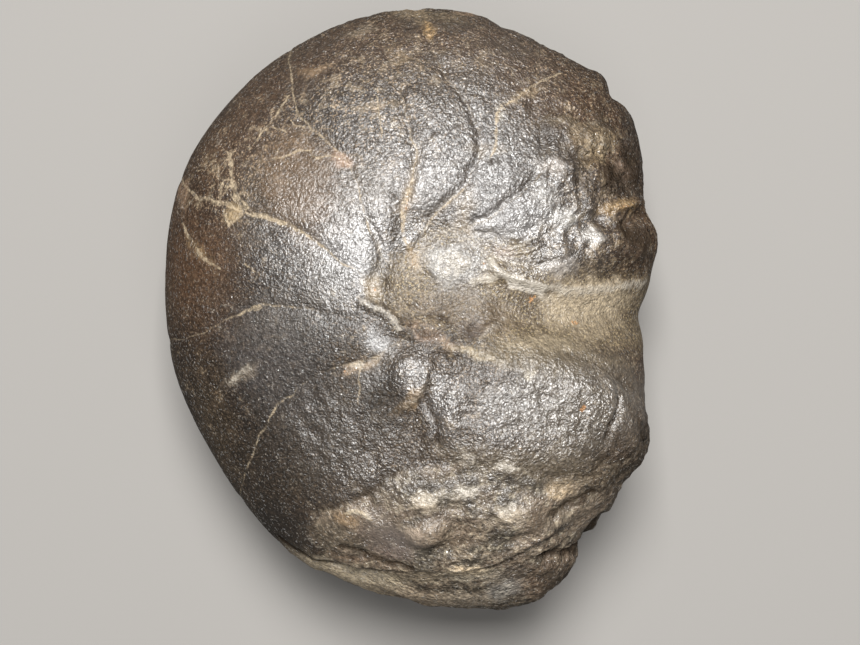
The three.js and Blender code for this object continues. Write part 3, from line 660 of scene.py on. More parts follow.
def smooth_through(knots, x):
    """A cubic through the (x, y) knots; the slope at each is that of the chord between its neighbours."""
    xs, ys = np.array(knots, float).T
    last = len(xs) - 1
    before = np.maximum(np.arange(last + 1) - 1, 0)
    after = np.minimum(np.arange(last + 1) + 1, last)
    slopes = (ys[after] - ys[before]) / (xs[after] - xs[before])
    i = np.clip(np.searchsorted(xs, x, side="right") - 1, 0, last - 1)
    gap = xs[i + 1] - xs[i]
    u = np.clip((x - xs[i]) / gap, 0, 1)
    v = 1 - u
    straight = ys[i] * (1 + 2 * u) * v * v + ys[i + 1] * (1 + 2 * v) * u * u
    return straight + gap * u * v * (slopes[i] * v - slopes[i + 1] * u)


def smooth_round(knots, angle):
    """The same, closed round the coil axis."""
    turned = [(a + 360 * turns, y) for turns in (-1, 0, 1) for a, y in knots]
    return smooth_through(turned, np.mod(angle, 360))


class Lattice:
    """Gradient noise: random directions on a cubic lattice, blended across each cell; about -1 to 1."""

    SIDE = 32  # after this many cells the directions repeat
    GAIN = 1.6  # brings the blend up to about -1 to 1
    OCTAVE_SHIFT = 7.3  # cells by which each octave is moved, so that their lattices don't line up

    def __init__(self, seed):
        directions = np.random.default_rng(seed).normal(size=(self.SIDE,) * 3 + (3,))
        self.directions = directions / np.linalg.norm(directions, axis=-1, keepdims=True)

    def at(self, points):
        """The way from each corner of the cell, times the corner's direction, in a mean whose weights fade
        across the cell as 6 t^5 - 15 t^4 + 10 t^3."""
        base = np.floor(points).astype(int)
        part = points - base
        fade = part ** 3 * (part * (part * 6 - 15) + 10)
        total = np.zeros(points.shape[:-1])
        for corner in np.ndindex(2, 2, 2):
            cell = (base + corner) % self.SIDE
            towards = self.directions[cell[..., 0], cell[..., 1], cell[..., 2]]
            slope = ((part - corner) * towards).sum(-1)
            weight = np.prod(np.where(corner, fade, 1 - fade), axis=-1)
            total += weight * slope
        return total * self.GAIN

    def fractal(self, points, size, octaves=3, gain=0.5):
        """Octaves of the noise, each half the size of the last and `gain` times its height."""
        total = np.zeros(points.shape[:-1])
        for octave in range(octaves):
            total += gain ** octave * self.at(points * 2 ** octave / size + self.OCTAVE_SHIFT * octave)
        return total


def mound(x, y, shape, power=2):
    """height * exp(-(elliptical distance from the centre) ** power)."""
    cx, cy, long, across, turn, height = shape
    c, s = np.cos(np.radians(turn)), np.sin(np.radians(turn))
    dx, dy = x - cx, y - cy
    distance = np.hypot((dx * c + dy * s) / long, (dy * c - dx * s) / across)
    return height * np.exp(-distance ** power)


def patches(x, y, shapes):
    """The sum of soft-edged patches: mounds of power 3."""
    return sum(mound(x, y, shape, 3) for shape in shapes)


def blend_stains_and_painted_light(x, y):
    """The mean colour of the stains and of the painted highlights and shade among them, weighted by how
    strong each is here, and how much of the stone they cover.
    """
    weights = np.array([mound(x, y, shape, 3) for *shape, _ in STAINS_AND_PAINTED_LIGHT])
    tints = np.array([srgb(*tint) for *_, tint in STAINS_AND_PAINTED_LIGHT])
    total = weights.sum(0)
    mean = np.einsum("sij,sc->ijc", weights, tints) / np.maximum(total, 1e-6)[..., None]
    return mean, np.clip(total, 0, 1)


def sway(points, x, y):
    """The places moved about by a millimetre or so, so that patches laid out on them get uneven outlines."""
    shifts = [Lattice(seed).fractal(points, size=3.6, octaves=3, gain=0.6) for seed in SWAY_SEEDS]
    return x + shifts[0], y + shifts[1]


def to_path(x, y, path):
    """Distance from each place to a path of straight runs, signed: positive on its left."""
    nearest = np.full(x.shape, np.inf)
    signed = np.zeros(x.shape)
    for (ax, ay), (bx, by) in zip(path, path[1:]):
        run_x, run_y = bx - ax, by - ay
        share = np.clip(((x - ax) * run_x + (y - ay) * run_y) / (run_x ** 2 + run_y ** 2), 0, 1)
        off_x, off_y = x - ax - share * run_x, y - ay - share * run_y
        distance = np.hypot(off_x, off_y)
        side = np.where(run_x * off_y - run_y * off_x >= 0, 1.0, -1.0)
        closer = distance < nearest
        nearest = np.where(closer, distance, nearest)
        signed = np.where(closer, side * distance, signed)
    return signed


def beyond_edge(x, y, path):
    """Distance to a path that runs round the coil axis, positive on the side away from the axis.

    Which side a place is on comes from the path's own distance from the axis at the same angle, read off
    points spread along it.
    """
    points_per_run = 12
    along = np.linspace(0, len(path) - 1, points_per_run * len(path))
    path_x, path_y = (np.interp(along, np.arange(len(path)), axis) for axis in np.transpose(path))
    angles = np.mod(np.degrees(np.arctan2(path_y, path_x)), 360)
    order = np.argsort(angles)
    radii = np.hypot(path_x, path_y)
    here = np.mod(np.degrees(np.arctan2(y, x)), 360)
    outside = np.hypot(x, y) > np.interp(here, angles[order], radii[order])
    return np.where(outside, 1, -1) * np.abs(to_path(x, y, path))


class Cast:
    """The smooth cast as a grid: rows run out from the coil axis, over the edge and back, and columns lie
    along the septa."""

    def __init__(self):
        face = np.linspace(0, np.pi / 2, TOP_ROWS + 1)[1:]
        back = np.linspace(np.pi / 2, np.pi, BACK_ROWS + 1)[1:-1]
        turn = np.concatenate([face, back])[:, None]
        self.out = np.sin(turn)
        self.up = np.cos(turn)
        self.face = smoothstep(self.up, -0.12, 0.12)
        self.lay_columns()
        self.place_body()

    def septum_angles(self, k, noise):
        """The angle of septum k at each row: a cubic through its stations, and a wobble of 0.7 degrees at the
        edge that grows to 2 near the axis. The noise has 14 swings on the way out."""
        out = self.out[:, 0]
        along = np.stack([out * 14, np.full_like(out, k * 3.7), self.face[:, 0] * 5], -1)
        wobble = 0.7 * noise.fractal(along, size=1, octaves=2) / np.maximum(out, 0.35)
        return smooth_through(list(zip(STATIONS, SEPTA[k][0])), out) + wobble

    def lay_columns(self):
        """Angles of all grid points, and how many degrees they are from the nearest septum, positive
        anticlockwise. The columns crowd towards the septa, as x - CROWDING sin(2 pi x) / 2 pi."""
        count = len(SEPTA)
        noise = Lattice(SEPTUM_SEED)
        curves = [self.septum_angles(k, noise) for k in range(count)]
        curves = np.array(curves + [curves[0] + 360])
        share = np.arange(COLUMNS_PER_CHAMBER) / COLUMNS_PER_CHAMBER
        share = share - CROWDING * np.sin(2 * np.pi * share) / (2 * np.pi)
        start, end = curves[:-1, :, None], curves[1:, :, None]
        angle = start + (end - start) * share
        away = np.where(share < 0.5, share, share - 1) * (end - start)
        before = np.arange(count)[:, None]
        nearest = np.where(share < 0.5, before, (before + 1) % count)
        self.angle = angle.transpose(1, 0, 2).reshape(len(self.out), -1)
        self.degrees_away = away.transpose(1, 0, 2).reshape(len(self.out), -1)
        self.septum = np.broadcast_to(nearest.reshape(-1), self.angle.shape)

    def place_body(self):
        """The outline shrinks to the axis as sin(turn), and the half-width as cos(turn) ** fullness. Chips
        are bells round the edge. The umbilicus is a hollow, exp(-(radius / reach) ** 4), or ** 2 behind."""
        fullness = np.where(self.up > 0, smooth_round(FACE_FULLNESS, self.angle), BACK_FULLNESS)
        side = np.sign(self.up) * np.abs(self.up) ** fullness
        chips = sum(height * bell((self.angle - at + 540) % 360 - 180, width) for at, width, height in CHIPS)
        radius = self.out * (smooth_round(OUTLINE, self.angle) + chips * bell(side, CHIP_REACH))
        middle = smoothstep(self.out, 0, 0.5)
        half_width = blend(AXIS_HALF_WIDTH, smooth_round(HALF_WIDTHS, self.angle), middle)
        (face_reach, face_depth), (back_reach, back_depth) = UMBILICUS_FACE, UMBILICUS_BACK
        front = face_depth * np.exp(-(radius / face_reach) ** 4)
        rear = back_depth * bell(radius, back_reach)
        z = half_width * side - np.where(self.up > 0, front, -rear)
        x, y = radius * np.cos(np.radians(self.angle)), radius * np.sin(np.radians(self.angle))
        self.body = np.stack([x, y, z], -1)
        self.poles = np.array([[0, 0, AXIS_HALF_WIDTH - face_depth], [0, 0, back_depth - AXIS_HALF_WIDTH]])

    def plan(self):
        """The x and y of the grid points at the scale of the features' places."""
        return self.body[..., 0] / FEATURE_SCALE, self.body[..., 1] / FEATURE_SCALE

    def normals(self):
        """Outward normals from the differences to the next points along rows and columns."""
        down = np.gradient(self.body, axis=0)
        around = np.roll(self.body, -1, axis=1) - np.roll(self.body, 1, axis=1)
        normal = np.cross(down, around)
        return normal / np.linalg.norm(normal, axis=-1, keepdims=True)

    def septum_distance(self):
        """Millimetres from the nearest septum, positive on its anticlockwise side: the way round to it over
        sqrt(1 + lean ** 2), where lean is how far the septum runs round for each millimetre out."""
        least_step = 0.02
        most_lean = 3
        radius = np.hypot(self.body[..., 0], self.body[..., 1])
        round_way = np.radians(self.degrees_away) * radius
        outward = np.maximum(np.abs(np.gradient(radius, axis=0)), least_step)
        lean = np.radians(np.gradient(self.angle, axis=0)) * radius / outward
        return round_way / np.sqrt(1 + np.minimum(lean, most_lean) ** 2)


class Relief:
    """What stands on the smooth body: heights in millimetres along its normals, and masks for the finish.

    Each step adds to `height`; to the dark mask where it holds dirt or is painted in shade; and to `pale`
    where it is rubbed pale or, in a few places, painted as a highlight.
    """

    def __init__(self, cast):
        self.cast = cast
        self.face = cast.face
        self.x, self.y = cast.plan()
        self.angle = np.mod(cast.angle, 360)
        self.waves = Lattice(WAVE_SEED)
        self.fine = Lattice(FINE_SEED)
        strays = [noise.fractal(cast.body, size=3.0, octaves=2) for noise in (self.waves, self.fine)]
        self.wander = WANDER * np.stack(strays)
        swayed = sway(cast.body, self.x, self.y)
        self.pale = patches(*swayed, PALE_PATCHES)
        self.dirt_and_shade = patches(*swayed, DARK_PATCHES)
        self.height = np.zeros(self.x.shape)
        self.cut_grooves()
        self.sink_trough()
        on_face = self.mounds_on_face() + self.ridges() - self.lower_layer()
        on_back = sum(mound(self.x, self.y, shape) for shape in BACK_MOUNDS)
        self.height += blend(on_back, on_face, self.face)
        self.place_rock()
        self.crumple_rock()
        self.crumple_skin()
        self.fill_umbilicus()

    def add_dirt_and_shade(self, amount):
        """Each place is as dark as its darkest feature; the features are dirt and painted shade."""
        self.dirt_and_shade = np.maximum(self.dirt_and_shade, amount)

    def wandered(self, times):
        """The places moved about by the wander, so that lines laid out on them aren't quite even."""
        return self.x + times * self.wander[0], self.y + times * self.wander[1]

    def cut_grooves(self):
        """A groove along each septum: a sharp valley, exp(-distance / reach), deepened by a narrow bell. It
        begins a short way out from the axis and gets shallower towards the edge."""
        out, away = self.cast.out, self.cast.septum_distance()
        depths = np.array([depth for _, depth, _ in SEPTA])[self.cast.septum]
        muddy = window(self.angle, *MUDDY_SIDE)
        begins_on_face = smoothstep(out, 0.12 + 0.14 * muddy, 0.26 + 0.16 * muddy)
        begins = blend(smoothstep(out, 0.45, 0.75), begins_on_face, self.face)
        shallower = 1 - 0.55 * smoothstep(out, 0.5, 0.95)
        groove = depths * blend(BACK_GROOVE, 1, self.face) * begins * shallower
        reach = np.where(away > 0, *GROOVE_REACH)
        valley, middle = GROOVE_SHARES
        self.height -= groove * (valley * np.exp(-np.abs(away) / reach) + middle * bell(away, 1.0))
        # painted shade on the anticlockwise wall of each groove, added to the dark mask
        shade = np.clip(depths / 0.65 - 0.7, 0, 1) * window(out, (0.14, 0.22), (0.5, 0.72)) * self.face
        self.add_dirt_and_shade(0.5 * shade * bell(away - 0.8, 1.2))
        self.from_septum = np.abs(away + 0.35 * shade)

    def sink_trough(self):
        """A bell-shaped trough along its path."""
        depth = blend(*TROUGH_DEPTHS, self.face)
        self.height -= depth * bell(to_path(self.x, self.y, TROUGH), TROUGH_HALF_WIDTH)

    def mounds_on_face(self):
        """Mounds, and domes of power 4."""
        mounds = sum(mound(self.x, self.y, shape) for shape in FACE_MOUNDS)
        return mounds + sum(mound(self.x, self.y, shape, 4) for shape in DOMES)

    def ridges(self):
        """A bell across each path, pale, or dark with dirt and painted shade."""
        on_face = np.zeros(self.x.shape)
        for half_width, rise, paleness, path in RIDGES:
            near = bell(to_path(*self.wandered(1), path), half_width)
            on_face += rise * near
            self.pale = np.maximum(self.pale, paleness * near)
            # creases, where the paleness is below 0, are painted dark: dirt and painted shade
            self.add_dirt_and_shade(-paleness * near)
        return on_face

    def lower_layer(self):
        """How far down the broken end's lower layer is: a step beyond LEDGE, steep where the ledge is crisp,
        and a crack along it. At the rim the lower layer stands out as far as the upper one."""
        up = self.cast.up
        self.beyond_ledge = beyond_edge(*self.wandered(1), LEDGE)
        self.on_end = window(self.angle, *LEDGE_RANGE) * smoothstep(up, 0, 0.3)
        crisp = np.interp(self.angle, *np.transpose(LEDGE_CRISPNESS))
        steep = smoothstep(self.beyond_ledge, -0.8, 1.2)
        gentle = smoothstep(self.beyond_ledge, -2.5, 4.5)
        inboard = self.on_end * smoothstep(up, 0.15, 0.45)
        # painted shadow along the crack under the crisp ledge
        self.add_dirt_and_shade(1.4 * crisp * self.on_end * bell(self.beyond_ledge, 0.45))
        crack = LEDGE_CRACK * crisp * bell(self.beyond_ledge, 0.5)
        return inboard * (LEDGE_STEP * blend(gentle, steep, crisp) + crack)

    def place_rock(self):
        """Where the rock of the broken end is. On the left a low step and a crease run along its edge."""
        beyond = beyond_edge(*self.wandered(1.5), ROCK_EDGE)
        radius = np.hypot(self.x, self.y)
        beside = self.angle - np.interp(radius, *np.transpose(ROCK_SIDE)) + 2 * self.wander[0]
        upper = smoothstep(beyond, -0.5, 0.6) * smoothstep(beside, -0.8, 0.9)
        upper = upper * (1 - smoothstep(self.angle, *ROCK_FADE_ON_FACE))
        lower = smoothstep(self.beyond_ledge, 0.1, 0.7) * window(self.angle, LOWER_LEFT_START, LEFT_PART_FADE)
        on_back = smoothstep(radius, *ROCK_RADIUS_ON_BACK) * window(self.angle, *ROCK_RANGE_ON_BACK)
        self.rock = blend(on_back, np.maximum(upper, lower), self.face)
        left = smoothstep(beside, -0.4, 0.5) * (1 - smoothstep(self.angle, *LEFT_PART_FADE)) * self.face
        crease = bell(beyond, 0.6)
        self.height -= left * (0.45 * smoothstep(beyond, -0.7, 0.7) + 0.3 * crease)
        # painted shadow along the crease at the rock's left edge
        self.add_dirt_and_shade(0.7 * left * crease)

    def crumple_rock(self):
        """Lumps and bumps in the rock: noise, less the size of another noise, which rises to a crest where it
        crosses 0. The layer below the ledge is smoother."""
        body = self.cast.body
        worn = np.clip(patches(self.x, self.y, SMOOTH_AREAS), 0, 1) * self.face
        self.rugged = self.rock * (1 - 0.8 * worn)
        below = smoothstep(self.cast.up, -0.25, 0.1) * self.on_end * smoothstep(self.beyond_ledge, 0.0, 2.5)
        self.below = below * (1 - smoothstep(self.angle, *SMOOTH_LAYER_FADE))
        crests = np.abs(self.waves.fractal(body * (0.8, 1.25, 1), 7.0, 3, 0.55))
        lumps = self.waves.fractal(body * (1, 1, 1.3), 9.0, 4, 0.62)
        strength = ROCK_HEIGHT * self.rugged * (1 - 0.75 * self.below)
        self.height += strength * (0.7 * lumps + 0.5 - 1.1 * crests)

    def crumple_skin(self):
        """Crests of the same kind in the crumpled areas and on the knobbly corner, and a soft unevenness all
        over, stronger where the skin is coarse."""
        body, face = self.cast.body, self.face
        crumpled = np.clip(patches(self.x, self.y, CRUMPLED_AREAS) * face, 0, 1)
        folds = np.abs(self.waves.fractal(body * (1, 0.8, 1) + 40, 5.0, 3, 0.6))
        self.height += FOLD_HEIGHT * crumpled * (0.5 - 2 * folds)
        self.corner = mound(self.x, self.y, KNOBBLY_CORNER, 3) * face
        knobs = np.abs(self.waves.fractal(body * (1.2, 0.8, 1), 6.5, 4, 0.6))
        self.height += KNOB_HEIGHT * self.corner * (1 - 2 * knobs)
        self.coarse = np.clip(patches(self.x, self.y, COARSE_AREAS) * face + 0.6 * (1 - face), 0, 1)
        uneven = SKIN_HEIGHT + COARSE_SKIN_HEIGHT * self.coarse
        self.height += uneven * self.fine.fractal(body, 3.2, 3, 0.6)
        self.height += BROAD_HEIGHT * self.waves.fractal(body, 16.0, 2)

    def fill_umbilicus(self):
        """Where the filling is: a flat-topped oval of power 6 and a band of the same power along its path."""
        x, y = self.x, self.y
        oval = mound(x, y, FILLING_OVAL, 6)
        band = np.exp(-(np.abs(to_path(x, y, FILLING_BAND)) / FILLING_BAND_HALF_WIDTH) ** 6)
        filled = np.clip(oval + band, 0, 1) + patches(x, y, FILLING_EXTRAS) - patches(x, y, FILLING_GAPS)
        self.fill = np.clip(filled, 0, 1) * self.face

    def masks(self):
        """What the finish reads at each point, by name."""
        x, y, face = self.x, self.y, self.face
        return {
            "fill": self.fill,
            "rock": self.rock * (1 - 0.3 * self.below),
            "rugged": self.rugged,
            "corner": self.corner,
            "coarse": self.coarse,
            "pale": self.pale * face,
            "dirt_and_shade": self.dirt_and_shade * face,
            "tan": np.clip(patches(x, y, TAN_AREAS), 0, 1),
            "rust": patches(x, y, RUST_SPOTS) * face,
            "brown": np.clip(patches(x, y, BROWN_STAINS), 0, 1),
            "septum_distance": np.clip(self.from_septum, 0, 10),
            "polish": np.clip(patches(x, y, POLISHED_AREAS), 0, 1.6) * face + BACK_POLISH * (1 - face),
        }


def septum_lines(cast):
    """How plain the nearest septum's pale line is: straight between its values at the stations."""
    plainness = np.array([np.interp(cast.out[:, 0], STATIONS, values) for _, _, values in SEPTA])
    rows = np.arange(len(cast.out))[:, None]
    return plainness[cast.septum, rows]


def vein_attributes(cast):
    """Signed and unsigned distance to the nearest vein, and its half-width."""
    x, y = cast.plan()
    signed = np.full(x.shape, FAR)
    width = np.full(x.shape, 0.2)
    for half_width, path in VEINS:
        here = to_path(x, y, path)
        closer = np.abs(here) < np.abs(signed)
        signed = np.where(closer, here, signed)
        width = np.where(closer, half_width, width)
    unsigned = np.abs(signed) + FAR * (1 - cast.face)
    return {
        "vein_across": np.clip(signed, -5, 5),
        "vein_distance": np.clip(unsigned, 0, 5),
        "vein_width": width,
    }


def write_mesh(name, rings, poles, attributes):
    """A closed surface: a fan at each pole and bands of quads between the rings.

    The attributes are numbers at the grid's points, and at a pole they are the mean of the ring next to it.
    """
    rows, count, _ = rings.shape
    points = np.concatenate([rings.reshape(-1, 3), poles])
    top, bottom = rows * count, rows * count + 1
    index = np.arange(rows * count).reshape(rows, count)
    after = np.roll(index, -1, axis=1)
    quads = np.stack([index[:-1], index[1:], after[1:], after[:-1]], -1).reshape(-1, 4)
    cap = np.stack([np.full(count, top), index[0], after[0]], -1)
    base = np.stack([index[-1], np.full(count, bottom), after[-1]], -1)
    corners = np.concatenate([cap.ravel(), quads.ravel(), base.ravel()])
    sizes = np.concatenate([np.full(count, 3), np.full(len(quads), 4), np.full(count, 3)])
    starts = np.concatenate([[0], np.cumsum(sizes)[:-1]])
    mesh = bpy.data.meshes.new(name)
    mesh.vertices.add(len(points))
    mesh.vertices.foreach_set("co", (points * MM).astype(np.float32).ravel())
    mesh.loops.add(len(corners))
    mesh.loops.foreach_set("vertex_index", corners.astype(np.int32))
    mesh.polygons.add(len(sizes))
    mesh.polygons.foreach_set("loop_start", starts.astype(np.int32))
    mesh.polygons.foreach_set("use_smooth", np.ones(len(sizes), bool))
    mesh.update(calc_edges=True)
    mesh.validate()
    for key, values in attributes.items():
        at_poles = [values[0].mean(), values[-1].mean()]
        layer = mesh.attributes.new(key, "FLOAT", "POINT")
        layer.data.foreach_set("value", np.concatenate([values.ravel(), at_poles]).astype(np.float32))
    piece = bpy.data.objects.new(name, mesh)
    bpy.context.scene.collection.objects.link(piece)
    return piece


def paint_stains_and_painted_light(piece, tint):
    """The colour of the stains and the painted highlights and shade at each point of the piece. The two poles
    stay white.
    """
    layer = piece.data.attributes.new("stain_and_painted_light", "FLOAT_COLOR", "POINT")
    colours = np.ones((len(piece.data.vertices), 4), np.float32)
    colours[:-2, :3] = tint.reshape(-1, 3)
    layer.data.foreach_set("color", colours.ravel())


def set_down(points):
    """The places raised to where the cast rests, and worn flat at the ground."""
    raised = points + [0, 0, REST_HEIGHT]
    raised[..., 2] = np.maximum(raised[..., 2], 0)
    return raised


def way_to_node(points):
    """How far the cast moves in plan so that its middle is the middle of its node's box."""
    flat = points.reshape(-1, 3)
    shift = BOX.mean(0) - (flat.min(0) + flat.max(0)) / 2
    shift[2] = 0
    return shift


def make_cast():
    """The piece, and where its coil axis is."""
    cast = Cast()
    relief = Relief(cast)
    points = set_down(cast.body + cast.normals() * relief.height[..., None])
    top_height = relief.height[0].mean()
    poles = set_down(cast.poles + [[0, 0, top_height], [0, 0, 0]])
    shift = way_to_node(points)
    tint, cover = blend_stains_and_painted_light(*sway(cast.body, *cast.plan()))
    attributes = {
        "septum_line": septum_lines(cast),
        "face": cast.face * np.ones(cast.angle.shape),
        **vein_attributes(cast),
        **relief.masks(),
        "stain_and_painted_light_cover": cover * cast.face,
    }
    piece = write_mesh("nautilus_stone", points + shift, poles + shift, attributes)
    paint_stains_and_painted_light(piece, tint)
    return piece, shift


# ------------------------------------------------------------------------------------------------------
# Materials

# Colours of the finish, 8-bit sRGB. Where there are two, the finish runs from the first to the second.
SKIN = ((34, 28, 23), (48, 40, 31))
COARSE_SKIN = (54, 47, 41)
BROWN_SKIN = (62, 45, 32)
SCUFFED_SKIN = (94, 75, 54)
DRIED_MUD = ((92, 80, 64), (150, 136, 114))
FRECKLES = (160, 139, 114)
FILLING = ((70, 60, 47), (98, 86, 69))
FILLING_SPECKS = (158, 142, 108)
ROCK = ((66, 60, 51), (94, 82, 69))
ROCK_PATCHES = (116, 104, 88)
ROCK_CRUST = (160, 149, 129)
ROCK_HOLLOWS = (40, 34, 29)
CORNER_MOTTLE = (124, 109, 87)
GREY_FLECKS_AND_GLINTS = (164, 158, 148)
CREASES = (56, 47, 38)
PITS = (34, 29, 25)
RUBBED_PALE_AND_PAINTED_HIGHLIGHT = ((116, 108, 96), (172, 165, 153))
DARK_DIRT_AND_SHADE = (42, 34, 26)
RUST = (156, 110, 66)
SEPTUM_MUD = ((74, 63, 48), (128, 111, 86))
PALE_LINES = ((108, 94, 76), (186, 171, 146))
FLOOR = (120, 118, 115)


def srgb(red, green, blue):
    """The linear colour of an 8-bit sRGB one."""
    levels = (red, green, blue)
    return tuple(float(((c / 255 + 0.055) / 1.055) ** 2.4 if c > 10 else c / 3294.6) for c in levels)


class Socket:
    """An output of a material's node. Operators on it add Math nodes."""

    def __init__(self, maker, socket):
        self.maker, self.socket = maker, socket

    def __add__(self, other):
        return self.maker.math("ADD", self, other)

    def __sub__(self, other):
        return self.maker.math("SUBTRACT", self, other)

    def __mul__(self, other):
        return self.maker.math("MULTIPLY", self, other)

    def __rsub__(self, other):
        return self.maker.math("SUBTRACT", other, self)

    def __abs__(self):
        return self.maker.math("ABSOLUTE", self)

    __radd__ = __add__
    __rmul__ = __mul__


class Maker:
    """Makes one material's nodes."""

    def __init__(self, name):
        self.material = bpy.data.materials.new(name)
        self.material.use_nodes = True
        self.tree = self.material.node_tree
        self.tree.nodes.clear()
        self.place = self.scaled(self.node("ShaderNodeTexCoord", output="Object"), 1 / MM)

    def node(self, kind, settings=None, inputs=None, output=0):
        """A node of this kind: its settings are set first, then the values or links of its sockets."""
        made = self.tree.nodes.new(kind)
        for key, value in (settings or {}).items():
            setattr(made, key, value)
        for key, value in (inputs or {}).items():
            if isinstance(value, Socket):
                self.tree.links.new(value.socket, made.inputs[key])
            else:
                made.inputs[key].default_value = value
        return Socket(self, made.outputs[output])

    def math(self, operation, *values):
        return self.node("ShaderNodeMath", {"operation": operation}, dict(enumerate(values)))

    def larger(self, a, b):
        return self.math("MAXIMUM", a, b)

    def scaled(self, vector, factor):
        return self.node("ShaderNodeVectorMath", {"operation": "SCALE"}, {0: vector, "Scale": factor})

    def attribute(self, name, output="Fac"):
        return self.node("ShaderNodeAttribute", {"attribute_name": name}, output=output)

    def between(self, value, low, high, to_low=0.0, to_high=1.0):
        """`value` mapped smoothly from low..high to to_low..to_high, and held there beyond."""
        inputs = {"Value": value, "From Min": low, "From Max": high, "To Min": to_low, "To Max": to_high}
        return self.node("ShaderNodeMapRange", {"interpolation_type": "SMOOTHSTEP"}, inputs)

    def noise(self, size, detail=2.0, roughness=0.5):
        """Noise of 0 to 1 with features of about `size` millimetres."""
        inputs = {"Vector": self.place, "Scale": 1 / size, "Detail": detail, "Roughness": roughness}
        return self.node("ShaderNodeTexNoise", None, inputs)

    def warped(self, by, size):
        """The place moved about by up to `by` millimetres, in swirls of `size`."""
        inputs = {"Vector": self.place, "Scale": 1 / size, "Detail": 1.0}
        swirl = self.node("ShaderNodeTexNoise", None, inputs, output="Color")
        shift = self.scaled(swirl, 2.0 * by)
        return self.node("ShaderNodeVectorMath", {"operation": "ADD"}, {0: self.place, 1: shift})

    def cell_edge(self, size, vector):
        """Distance from the edge of the nearest of the cells that fill space, in cell sizes."""
        inputs = {"Vector": vector, "Scale": 1 / size}
        return self.node("ShaderNodeTexVoronoi", {"feature": "DISTANCE_TO_EDGE"}, inputs)

    def mix(self, share, a, b):
        """Two colours, each a socket or 8-bit sRGB, mixed by share."""
        a, b = (colour if isinstance(colour, Socket) else (*srgb(*colour), 1) for colour in (a, b))
        return self.node("ShaderNodeMix", {"data_type": "RGBA"}, {0: share, 6: a, 7: b}, output=2)

    def shader(self, **inputs):
        named = {key.replace("_", " "): value for key, value in inputs.items()}
        return self.node("ShaderNodeBsdfPrincipled", None, named)

    def finish(self, surface):
        result = self.tree.nodes.new("ShaderNodeOutputMaterial")
        self.tree.links.new(surface.socket, result.inputs["Surface"])
        return self.material


